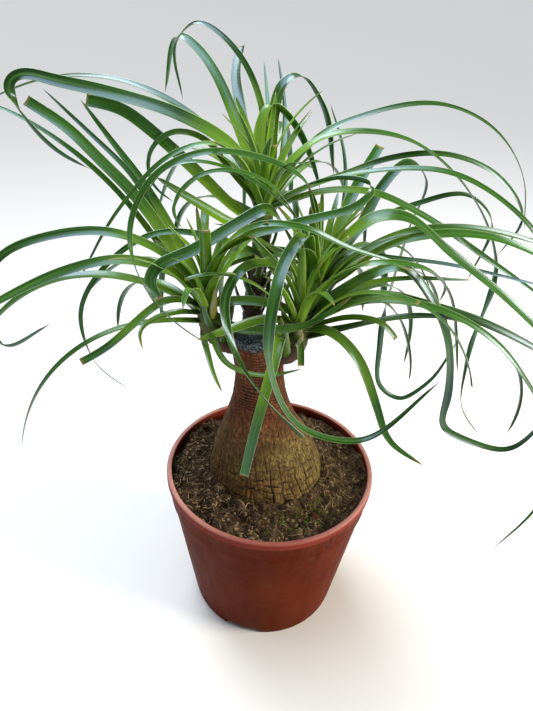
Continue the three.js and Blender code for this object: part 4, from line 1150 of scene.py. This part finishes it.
def traced_points(leaf, root, shift, bow):
    """Knots on the sight lines at y = root + back + shift share + bow sin(pi share), and a curve through
    them. share is how much of the picture's course is done."""
    marks = np.array([to_picture(root), *leaf["picture"]])
    run = run_of(marks)
    share = run / run[-1]
    back = np.interp(share, np.linspace(0, 1, len(leaf["back"]) + 1), [0, *leaf["back"]])
    knots = on_sight_lines(marks, root[1] + back + shift * share + bow * np.sin(np.pi * share))
    chords = run_of(knots)
    steps = math.ceil(chords[-1] / BLADE_STEP)
    even = chords[-1] * np.arange(steps + 1) / steps
    return soften(smooth_levels(np.column_stack([chords, knots]), even), SOFTENING, True)


def ruled_points(leaf, root):
    """Points of a hidden leaf: each is the one before plus a stride along slope and heading."""
    steps = math.ceil(leaf["length"] / BLADE_STEP)
    s = (np.arange(steps) + 0.5) / steps
    roll_up = np.maximum(0, (s - ROLL_UP_START) / (1 - ROLL_UP_START)) ** 2
    bent = ease((s - leaf["bend"]) / leaf["spread"] + 0.5)
    slope = np.radians(leaf["rise"] + (leaf["fall"] - leaf["rise"]) * bent + leaf["curl"] * roll_up)
    heading = np.radians(leaf["heading"] + leaf["turn"] * s * s)
    flat = np.cos(slope)
    along = np.stack([flat * np.cos(heading), flat * np.sin(heading), np.sin(slope)], axis=-1)
    return np.cumsum(np.concatenate([root[None], along * leaf["length"] / steps]), axis=0)


def course_of(points):
    """Points with their directions: along, and level across it as (-y, x, 0). Where a course passes the
    upright, the level line would jump to its opposite, so its sign is kept, and it is evened out."""
    alongs = unit(np.diff(points, axis=0))
    turned_over = (alongs[1:, :2] * alongs[:-1, :2]).sum(axis=1) < 0
    sign = np.concatenate([[1], np.cumprod(np.where(turned_over, -1, 1))])
    levels = sign[:, None] * np.stack([-alongs[:, 1], alongs[:, 0], 0 * alongs[:, 0]], axis=-1)
    acrosses = soften(levels, LEVELLING, False)
    acrosses = unit(acrosses - (acrosses * alongs).sum(axis=1, keepdims=True) * alongs)
    return {"points": points, "alongs": alongs, "acrosses": acrosses, "steps": len(alongs)}


def span_ends(course, spans):
    """Steps at which spans end: equal shares of a length to which every bend adds."""
    bent = np.arccos(np.clip((course["alongs"][1:] * course["alongs"][:-1]).sum(axis=1), -1, 1))
    reach = np.cumsum(np.concatenate([[0], BLADE_STEP + BEND_WEIGHT * bent, [BLADE_STEP]]))
    return np.searchsorted(reach, reach[-1] * np.arange(spans + 1) / spans - 1e-9)


def blade_width(leaf, s, tip=TIP_WIDTH):
    """A wide sheath, then a strip that narrows to a cut end, or to a fine point as sqrt(1 - s^1.6)."""
    sheath = 1 + SHEATH_SPREAD * np.maximum(0, 1 - s / 0.14)
    if leaf["end"] == CUT:
        return leaf["width"] * sheath * (1 - 0.22 * s)
    return np.maximum(tip, leaf["width"] * sheath * np.sqrt(np.maximum(0, 1 - s**1.6)))


def blade_axes(course, leaf, steps):
    """Directions across the blade and out of its upper face: the level line turned about the course by the
    leaf's slow twist, and the course crossed with it."""
    i = np.minimum(steps, course["steps"] - 1)
    along, level = course["alongs"][i], course["acrosses"][i]
    twist = (math.radians(leaf["twist"]) * steps / course["steps"])[:, None]
    across = level * np.cos(twist) + np.cross(along, level) * np.sin(twist)
    return across, np.cross(along, across)


# %% [markdown]
# ### Room for every leaf
# Leaves of different shoots must not grow through one another. Space is divided into cubes of three
# millimetres, and a leaf that is placed books the cubes that it passes through. A later leaf that meets a
# booked cube of another shoot tries again a little further off, on a widening spiral: a hidden leaf turns
# aside, and a traced one moves along its sight lines, so that the picture of it stays the same. The large
# leaves choose first.

# %% Booking
CUBE = 3
TRIES = 420
TURN_STEP = 1.15
SHIFT_STEP = 3
BLADE_MARGIN = 0.3
BLADE_LIFTS = np.array([0.5, -0.7, -1.9])
STEM_MARGIN = 0.6
ROOM_SIDE = 460
booked = np.zeros((ROOM_SIDE,) * 3, np.uint8)


def cubes_of(points):
    """The cube numbers of points: each coordinate divided by the cube's side and rounded down."""
    return tuple((np.floor(points / CUBE).astype(int) + ROOM_SIDE // 2).T)


def blade_cubes(leaf, course):
    """Cubes along the true course and along its straight spans, over the whole width and thickness."""
    steps = np.arange(course["steps"] + 1)
    ends = span_ends(course, BLADE_SPANS)
    inner = steps[:-1]
    k = np.searchsorted(ends, inner, side="right") - 1
    a, b = ends[k], ends[k + 1]
    t = ((inner - a) / (b - a))[:, None]
    straight = course["points"][a] + (course["points"][b] - course["points"][a]) * t
    middles = np.concatenate([course["points"], straight])
    places = np.concatenate([steps, inner])
    across, out = blade_axes(course, leaf, places)
    half = (blade_width(leaf, places / course["steps"]) / 2 + BLADE_MARGIN)[:, None, None, None]
    side = np.arange(-2, 3)[None, :, None, None] / 2
    lift = BLADE_LIFTS[None, None, :, None]
    cloud = middles[:, None, None, :] + half * side * across[:, None, None, :] + lift * out[:, None, None, :]
    return cubes_of(cloud.reshape(-1, 3))


def course_aside(leaf, root, one, other):
    """The course of a try: a traced leaf shifted and bowed along its sight lines, or a hidden one turned."""
    if "picture" in leaf:
        return course_of(traced_points(leaf, root, SHIFT_STEP * one, SHIFT_STEP * other))
    turned = {**leaf, "heading": leaf["heading"] + TURN_STEP * one}
    turned["rise"] += TURN_STEP * other
    turned["fall"] += TURN_STEP * other
    return course_of(ruled_points(turned, root))


def find_room(leaf, root, owner):
    """The first course on the spiral whose cubes are free or the shoot's own, or nothing."""
    for attempt in range(TRIES):
        size = math.sqrt(attempt)
        side = attempt * math.radians(GOLDEN_ANGLE)
        course = course_aside(leaf, root, size * math.cos(side), size * math.sin(side))
        cubes = blade_cubes(leaf, course)
        holders = booked[cubes]
        if ((holders == 0) | (holders == owner)).all():
            booked[cubes] = owner
            return leaf, course
    return None


def book_round(levels, owner):
    """Books the cubes of a stack of discs between levels of (x, y, z, radius)."""
    turn = np.arange(48) / 48 * 2 * np.pi
    for low, high in zip(levels[:-1], levels[1:]):
        low, high = np.array(low, float), np.array(high, float)
        steps = math.ceil(np.linalg.norm(high[:3] - low[:3]))
        x, y, z, r = (low + (high - low) * np.arange(steps + 1)[:, None] / steps).T[:, :, None, None]
        reach = (r + STEM_MARGIN) * np.array([0.4, 0.7, 1])[None, :, None]
        disc = round_points(reach, turn, z) + np.stack([x, y, 0 * z], axis=-1)
        booked[cubes_of(disc.reshape(-1, 3))] = owner


# %% Hidden leaves by rule
def hidden_leaves(shoot, salt):
    """Heading from the golden angle; age from 0 in the heart to 1 at the foot sets slope, level and curl."""
    leaves = []
    for i in range(shoot["unseen"]):
        age = (i + 0.5) / shoot["unseen"]
        young = age < 0.3
        swing = (i * GOLDEN_ANGLE + salt * 61) % 360
        luck = [float(chance(i, salt + k)) for k in range(9)]
        spread = shoot["long_to"] - shoot["long_from"]
        leaves.append(
            {
                "heading": swing if young else shoot["long_from"] + spread * swing / 360,
                "rise": (82 if young else 62 - 45 * age) + 8 * (luck[0] - 0.5),
                "length": 45 + 45 * luck[1] if young else 130 + 110 * luck[1],
                "fall": (55 if young else -35 - 45 * age) + 30 * (luck[2] - 0.5),
                "bend": 0.36 + 0.2 * luck[3],
                "spread": 0.6 + 0.3 * luck[4],
                "turn": 40 * (luck[5] - 0.5),
                "curl": -50 * age * luck[6],
                "level": 12 - 24 * age,
                "width": 5 + 3 * luck[7] if young else 6 + 5 * luck[7],
                "end": CUT if luck[8] < 0.3 else POINTED,
                "youth": 0.8 if young else 0.2,
            }
        )
    return leaves


def root_of(shoot, leaf):
    """Where a leaf leaves the stem: its own level above the rosette's middle."""
    x, y, z, _ = shoot["stem"][ROOT_LEVEL]
    return np.array([x, y, z + ROOT_LIFT + leaf["level"]], float)


def twist_of(leaf, root, number, salt):
    """A slow twist by chance. A traced leaf that leans out sideways turns its face to the front as well, by
    the sideways share of its way from the root."""
    sway = TWIST_MOST * (2 * float(chance(number, salt + 9)) - 1)
    if "picture" not in leaf:
        return sway
    points = traced_points(leaf, root, 0, 0)
    away = points[int(len(points) * FACING_PLACE)] - points[0]
    return sway + FACING_TWIST * float(away[0]) / math.hypot(away[0], away[1])


def leaves_of(shoot, salt, owner):
    """Traced and hidden leaves of a shoot, each with its twist, its root and the number of its shoot."""
    leaves = []
    for i, leaf in enumerate(shoot["seen"] + hidden_leaves(shoot, salt)):
        root = root_of(shoot, leaf)
        leaves.append(({**leaf, "twist": twist_of(leaf, root, i, salt)}, root, owner))
    return leaves[: len(shoot["seen"])], leaves[len(shoot["seen"]) :]


def face_area(entry):
    """Width times length, by which the leaves queue for room."""
    leaf, root, _ = entry
    length = BLADE_STEP * len(traced_points(leaf, root, 0, 0)) if "picture" in leaf else leaf["length"]
    return leaf["width"] * length


# %% Placing the leaves
TRUNK_OWNER = 255
BOOKED_ABOVE = 130
book_round([[-lean, 0, z, r] for z, r, lean in TRUNK_LEVELS if z > BOOKED_ABOVE], TRUNK_OWNER)
for number, shoot in enumerate(SHOOTS):
    book_round(shoot["stem"], number + 1)
wanted = [leaves_of(shoot, 10 * number + 3, number + 1) for number, shoot in enumerate(SHOOTS)]
grown = {shoot["name"]: [] for shoot in SHOOTS}
for kind in (0, 1):
    queue = sorted((entry for pair in wanted for entry in pair[kind]), key=face_area, reverse=True)
    for leaf, root, owner in queue:
        found = find_room(leaf, root, owner)
        if found:
            grown[SHOOTS[owner - 1]["name"]].append(found)
print("leaves grown:", {name: len(leaves) for name, leaves in grown.items()})

# %% [markdown]
# ### Extra young leaves
# The heart of each rosette holds more young leaves than a plain solid can carry. They are bright and
# short: the youngest stand upright, the next ones arch outwards, and a few were cut. They are made here
# only, and need no booking, because they stay within the heart of their own shoot.

# %% Heart leaves
HEART_LEAVES = 15
HEART_CUT_SHARE = 0.1
HEART_RULE_SALT = 100


def heart_leaves(salt):
    """Short leaves round the heart by the golden angle, the innermost upright and the outer ones arching."""
    leaves = []
    for i in range(HEART_LEAVES):
        age = (i + 0.5) / HEART_LEAVES
        luck = [float(chance(i, salt + k)) for k in range(7)]
        leaves.append(
            {
                "heading": (i * GOLDEN_ANGLE + salt * 23) % 360,
                "rise": 86 - 34 * age + 8 * (luck[0] - 0.5),
                "length": 40 + 28 * luck[1] + 40 * age,
                "fall": 68 - 66 * age + 16 * (luck[2] - 0.5),
                "bend": 0.55,
                "spread": 0.8,
                "turn": 40 * (luck[3] - 0.5),
                "curl": -30 * age * luck[4],
                "level": 2 - 8 * age,
                "width": 5.5 + 3.5 * luck[5],
                "end": CUT if luck[6] < HEART_CUT_SHARE else POINTED,
                "youth": 1 - 0.25 * age,
                "twist": 0,
            }
        )
    return leaves


hearts = {}
for number, shoot in enumerate(SHOOTS):
    young = heart_leaves(HEART_RULE_SALT + number)
    hearts[shoot["name"]] = [(leaf, course_of(ruled_points(leaf, root_of(shoot, leaf)))) for leaf in young]

# %% [markdown]
# ### The blade
# A real blade is half a millimetre thick. It clasps the stem as a deep channel, opens to a shallow one
# within a few centimetres, and has thin pale edges. The section is a ring of twelve points: seven over the
# upper face, where the height is a parabola of the place across, and five under it. The ring is carried
# along the course, with more rings where the leaf bends. The edge also waves a little. A real blade is
# seldom quite level across, and the photograph shows the faces of most of them, so each traced blade is
# rolled up to twenty-five degrees towards the viewer about its own course.

# %% Blade surface
UPPER = np.array([-1, -0.9, -0.45, 0, 0.45, 0.9, 1])
LOWER = np.array([0.9, 0.45, 0, -0.45, -0.9])
SECTION = np.concatenate([UPPER, LOWER])
BLADE_THICKNESS = 0.62
CHANNEL = 0.16
SHEATH_CHANNEL = 0.5
SHEATH_FADE = 22
FINE_TIP = 0.5
LONGEST_DRY_TIP = 16
OPENING = 1.4
OPEN_FROM = 30.0
SPAN_LENGTH = 3.4
FEWEST_SPANS, MOST_SPANS = 14, 96
UPPER_CAP = [[i, i + 1, 12 - i] for i in range(1, 6)]
LOWER_CAP = [[12 - i, i + 1, 11 - i] for i in range(1, 5)]
END_CAP = np.array([[0, 1, 11], *UPPER_CAP, *LOWER_CAP])


def opened(out, along, points, far):
    """The outward direction leant towards the viewer of the photograph, most where it looks there already
    and not at all where the blade is edge on: out + opening (out . view) view."""
    view = unit(CAMERA_PLACE - points)
    view = view - (view * along).sum(axis=1, keepdims=True) * along
    opening = OPENING * ease(far / OPEN_FROM)[:, None] * (out * view).sum(axis=1, keepdims=True)
    return unit(out + opening * view)


def blade_surface(leaf, course, salt):
    """Points, faces and values of one blade: middle + place across x half width + height x outward. It is
    dry as a whole only where the leaf says so."""
    length = float(run_of(course["points"])[-1])
    spans = int(np.clip(length / SPAN_LENGTH, FEWEST_SPANS, MOST_SPANS))
    last = course["steps"]
    ends = np.unique([*span_ends(course, spans), last - 1])
    s = ends / last
    far = s * length
    across, out = blade_axes(course, leaf, ends)
    if "picture" in leaf:
        along = course["alongs"][np.minimum(ends, last - 1)]
        out = opened(out, along, course["points"][ends], far)
        across = np.cross(out, along)
    pointed = leaf["end"] != CUT
    width = blade_width(leaf, s, FINE_TIP)
    if pointed:
        width = width * np.minimum(1, (1 - s) / 0.05 + 0.25)
    half = (width / 2)[:, None]
    channel = CHANNEL + SHEATH_CHANNEL * np.exp(-far / SHEATH_FADE)
    wave = 0.05 * np.sin(far / (9 + 5 * chance(salt, 1)) + 7 * chance(salt, 2))
    place = SECTION[None, :]
    height = half * (channel[:, None] * (place**2 - 0.3) + wave[:, None] * place)
    upper_count = len(UPPER)
    thick = np.minimum(BLADE_THICKNESS, 0.16 * width)[:, None] * (1 - 0.75 * LOWER[None] ** 2)
    height[:, upper_count:] -= thick
    ring = (
        course["points"][ends][:, None, :]
        + (half * place)[..., None] * across[:, None, :]
        + height[..., None] * out[:, None, :]
    )
    rows, columns = ring.shape[:2]
    quads = grid_faces(rows, columns)[:, ::-1]
    caps = np.concatenate([END_CAP, END_CAP[:, ::-1] + (rows - 1) * columns])
    from_end = length - far
    dry_length = 1 + LONGEST_DRY_TIP * float(chance(salt, 4)) ** 2
    dried = 0.8 * ease(1 - from_end / dry_length) if pointed else 0.8 * (from_end < 1)
    under = (np.arange(columns) >= upper_count).astype(float)
    values = {
        "far": np.repeat(far, columns),
        "share": np.repeat(s, columns),
        "side": np.tile(SECTION, rows),
        "across_mm": (half * place).ravel(),
        "under": np.tile(under, rows),
        "tone": np.full(rows * columns, float(chance(salt, 3))),
        "youth": np.full(rows * columns, leaf["youth"]),
        "dry": np.full(rows * columns, leaf.get("dry", 0.0)),
        "dry_end": np.repeat(dried, columns),
        "woody": np.zeros(rows * columns),
    }
    return ring.reshape(-1, 3), [quads, caps], values


# %% [markdown]
# ### The stem of a shoot
# Each shoot starts as a short stem that leaves the trunk sideways and turns up. Its skin shows the level
# scars of fallen leaves. The stem is a ring of points carried along a smooth curve through a few places,
# each with a radius of its own.

# %% Stem surface
STEM_COLUMNS = 30
STEM_ROW = 0.9
SCAR_PITCH = 3.1
SCAR_DEPTH = 0.42


def frame_along(points):
    """Two directions square to a curve at every point: the curve's direction crossed with a fixed one that
    it never meets, and the cross of the two."""
    along = unit(np.gradient(points, axis=0))
    first = unit(np.cross(along, np.array([0.13, -0.99, 0.05])))
    return first, np.cross(along, first)


def stem_surface(shoot, salt):
    """A tube round a smooth curve: radius along it, less the scars, plus soft swellings."""
    levels = np.array(shoot["stem"], float)
    place = run_of(levels[:, :3])
    rows = int(place[-1] / STEM_ROW)
    fine = np.linspace(0, place[-1], rows)
    line = smooth_levels(np.concatenate([place[:, None], levels], axis=1), fine)
    first, second = frame_along(line[:, :3])
    angle = np.linspace(0, 2 * np.pi, STEM_COLUMNS, endpoint=False)
    spoke = np.cos(angle)[None, :, None] * first[:, None] + np.sin(angle)[None, :, None] * second[:, None]
    raw = line[:, None, :3] + line[:, None, 3:] * spoke
    scars = (0.5 + 0.5 * np.cos(2 * np.pi * (fine[:, None] / SCAR_PITCH + 0.5 * lumps(raw, 8, salt)))) ** 4
    depth = SCAR_DEPTH * scars - 0.35 * lumps(raw, 5, salt + 1)
    skin = line[:, None, :3] + (line[:, None, 3:] - depth[..., None]) * spoke
    ends = np.stack([line[0, :3], line[-1, :3]])
    share = np.concatenate([np.repeat(fine / place[-1], STEM_COLUMNS), [0, 1]])
    return np.concatenate([skin.reshape(-1, 3), ends]), capped_faces(rows, STEM_COLUMNS), share


# %% [markdown]
# ### Living leaf
# A leaf of this palm has a waxy skin over parallel fibres: satin, with long soft reflections, and not quite
# even in colour. It is yellow green where it leaves the heart, because that part is young and was shaded,
# and deeper green further out. The edges are a thin pale line, and a fine tip often dries to brown. All of
# it follows attributes of the blade: how far out the point is, where it lies across, and how young the leaf
# is. The stem has the same material, and an attribute gives it bark instead of wax.

# %% Leaf material
VEIN_PITCH = 1.4
living_leaf, shader = new_material("waxy_strap_leaf", 0.3, IOR=1.5)
shader.inputs["Specular Tint"].default_value = linear("#cbe2ff")
shader.inputs["Specular IOR Level"].default_value = 0.65
far = attribute(living_leaf, "far")
side = reckon(living_leaf, "ABSOLUTE", attribute(living_leaf, "side"))
tone = attribute(living_leaf, "tone")
fibre_place = add(
    living_leaf, "ShaderNodeCombineXYZ", X=attribute(living_leaf, "across_mm"), Y=far, Z=tone
).outputs["Vector"]
drawn = add(living_leaf, "ShaderNodeMapping", {"Scale": (1 / VEIN_PITCH, 0.02, 40)}, Vector=fibre_place)
veins = add(
    living_leaf, "ShaderNodeTexNoise", {"Scale": 1.0, "Detail": 2.0}, Vector=drawn.outputs["Vector"]
).outputs["Fac"]
deep = blend(living_leaf, tone, "#112802", "#34600f")
heart = blend(living_leaf, tone, "#84b416", "#b6de40")
from_heart = step_between(living_leaf, far, 15.0, 85.0)
youth = attribute(living_leaf, "youth")
grown_up = step_between(living_leaf, youth, 0.0, 1.0, 0.9, 0.0)
greening = reckon(living_leaf, "MAXIMUM", from_heart, grown_up)
green = blend(living_leaf, greening, heart, deep)
green = blend(living_leaf, step_between(living_leaf, veins, 0.4, 0.65, 0.0, 0.4), green, "#44781c")
green = blend(living_leaf, step_between(living_leaf, side, 0.25, 0.0, 0.0, 0.2), green, "#5f9636")
green = blend(living_leaf, step_between(living_leaf, side, 0.9, 1.0, 0.0, 0.75), green, "#b7d290")
# The lower face of each blade is painted darker: a painted shade.
underside_painted_shade = step_between(living_leaf, attribute(living_leaf, "under"), 0.3, 0.9, 0.0, 0.5)
green = blend(living_leaf, underside_painted_shade, green, "#235012")
green = blend(living_leaf, attribute(living_leaf, "dry_end"), green, "#94713c")
stem_place = step_between(living_leaf, attribute(living_leaf, "share"), 0.2, 0.75)
stem_skin = blend(living_leaf, stem_place, "#4a2f1c", "#566a22")
green = blend(living_leaf, attribute(living_leaf, "woody"), green, stem_skin)
green = blend(living_leaf, attribute(living_leaf, "dry"), green, "#8d8436")
gloss = step_between(living_leaf, veins, 0.35, 0.7, 0.22, 0.34)
bark_roughness = step_between(living_leaf, attribute(living_leaf, "woody"), 0.0, 1.0, 0.0, 0.85)
roughness = reckon(living_leaf, "MAXIMUM", gloss, bark_roughness)
fibrous = relief(living_leaf, veins, 0.12, 0.5)
connect(living_leaf, shader, Base_Color=green, Roughness=roughness, Normal=fibrous)

# %% [markdown]
# ### Putting a shoot together
# A shoot grew as one thing, so it is one piece: the stem, the leaves that the solid has, the extra heart
# leaves, and short scales up the stem, some of them dry.

# %% Shoot pieces
SCALES = 11
STEM_SALT = 200
BLADE_SALTS = (500, 900, 1300)
SALTS_A_SHOOT = 60


def scale_leaves(shoot, salt):
    """Short wide blades that stand on the stem's skin, one after another by the golden angle."""
    scales = []
    levels = np.array(shoot["stem"], float)
    for i in range(SCALES):
        x, y, z, r = levels[1] + (levels[3] - levels[1]) * i / SCALES
        heading = (i * GOLDEN_ANGLE + 40 * salt) % 360
        luck = float(chance(i, salt + 5))
        leaf = {
            "heading": heading,
            "rise": 62,
            "length": 16 + 16 * luck,
            "fall": 84,
            "bend": 0.5,
            "spread": 0.9,
            "turn": 0,
            "curl": 0,
            "width": 0.95 * r,
            "end": POINTED,
            "twist": 0,
            "youth": 0,
            "dry": 0.75 * float(chance(i, salt)) ** 2,
        }
        a = math.radians(heading)
        root = np.array([x + 0.8 * r * math.cos(a), y + 0.8 * r * math.sin(a), z])
        scales.append((leaf, course_of(ruled_points(leaf, root))))
    return scales


def build_shoot(shoot, number):
    """One piece: the stem, then the grown leaves, the heart leaves and the scales. Each blade has a salt of
    its own, so that no two are alike."""
    points, faces, share = stem_surface(shoot, STEM_SALT + number)
    blank = {key: 0 * share for key in ("far", "side", "under", "youth", "across_mm", "dry", "dry_end")}
    parts = [(points, faces, {**blank, "share": share, "tone": 0.5 + 0 * share, "woody": 1 + 0 * share})]
    groups = (grown[shoot["name"]], hearts[shoot["name"]], scale_leaves(shoot, number))
    for first_salt, group in zip(BLADE_SALTS, groups):
        for i, (leaf, course) in enumerate(group):
            parts.append(blade_surface(leaf, course, first_salt + SALTS_A_SHOOT * number + i))
    points, faces, values = join_parts(parts)
    piece = make_mesh("leafy_" + shoot["name"], points, faces, living_leaf, values)
    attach(piece, "root")
    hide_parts(shoot["name"])


for number, shoot in enumerate(SHOOTS):
    build_shoot(shoot, number)

# %% [markdown]
# ## Floor, light and camera
# A plain pale floor and wide soft lights show a plant best. Soft daylight comes from behind on the left, a
# cool light overhead gives the long bluish shine on the leaves, a warmer one from the right models pot and
# trunk, and the pale surroundings fill the shadows. The floor is flat round the pot and rises far away, like
# a studio cove. Floor and lights are given in metres. The camera stands where the photograph was taken
# from, as worked out before the leaves.

# %% Floor and lights
FLAT_RADIUS = 8.0
FLOOR_RADIUS = 60.0
FLOOR_RISE = 3.8
FLOOR_RINGS, FLOOR_COLUMNS = 13, 64
floor_turn = np.linspace(0, 2 * np.pi, FLOOR_COLUMNS, endpoint=False)
floor_reach = np.linspace(FLAT_RADIUS, FLOOR_RADIUS, FLOOR_RINGS)[:, None]
floor_z = FLOOR_RISE * ((floor_reach - FLAT_RADIUS) / (FLOOR_RADIUS - FLAT_RADIUS)) ** 2
floor_grid = round_points(floor_reach, floor_turn, floor_z).reshape(-1, 3)
floor_points = np.concatenate([floor_grid, [[0, 0, 0]]]) / MM
around = grid_faces(FLOOR_RINGS, FLOOR_COLUMNS)[:, ::-1]
floor_faces = [around, fan_faces(len(floor_grid), 0, FLOOR_COLUMNS, True)]
floor_paint, floor_shader = new_material("pale_matt_floor", 0.9)
floor_shader.inputs["Base Color"].default_value = linear("#dededc")
floor = make_mesh("floor", floor_points, floor_faces, floor_paint)

world = bpy.data.worlds.new("pale_surroundings")
world.use_nodes = True
world.node_tree.nodes["Background"].inputs["Color"].default_value = linear("#f4f6f8")
world.node_tree.nodes["Background"].inputs["Strength"].default_value = 0.27
bpy.context.scene.world = world


def soft_light(name, place, target, size, watts, colour):
    """A square area light that looks at a point."""
    data = bpy.data.lights.new(name, "AREA")
    data.shape = "SQUARE"
    data.size = size
    data.energy = watts
    data.color = linear(colour)[:3]
    lamp = bpy.data.objects.new(name, data)
    lamp.location = place
    lamp.rotation_euler = (Vector(target) - Vector(place)).to_track_quat("-Z", "Y").to_euler()
    bpy.context.scene.collection.objects.link(lamp)


soft_light("overhead_cool", (-0.3, 0.1, 1.5), (0, 0, 0.3), 0.9, 16, "#e4f0ff")
soft_light("right_warm", (1.4, -0.35, 0.85), (0, 0, 0.12), 0.6, 33, "#fff2e0")
sky = bpy.data.lights.new("even_daylight", "SUN")
sky.energy = 2.6
sky.angle = math.radians(34)
sky.color = linear("#f7faff")[:3]
sky_lamp = bpy.data.objects.new("even_daylight", sky)
sky_lamp.rotation_euler = Vector((-0.35, 0.6, 1)).to_track_quat("Z", "Y").to_euler()
bpy.context.scene.collection.objects.link(sky_lamp)

# %% Camera
lens = bpy.data.cameras.new("camera")
lens.sensor_fit = "AUTO"
lens.sensor_width = 36
lens.lens = lens.sensor_width * FOCAL_PIXELS / PICTURE_HEIGHT
lens.clip_start = 0.01
camera = bpy.data.objects.new("camera", lens)
turn = Matrix((camera_right, camera_up, -camera_ahead)).transposed()
camera.matrix_world = Matrix.Translation(CAMERA_PLACE * MM) @ turn.to_4x4()
bpy.context.scene.collection.objects.link(camera)
bpy.context.scene.camera = camera
bpy.context.scene.view_settings.view_transform = "Standard"
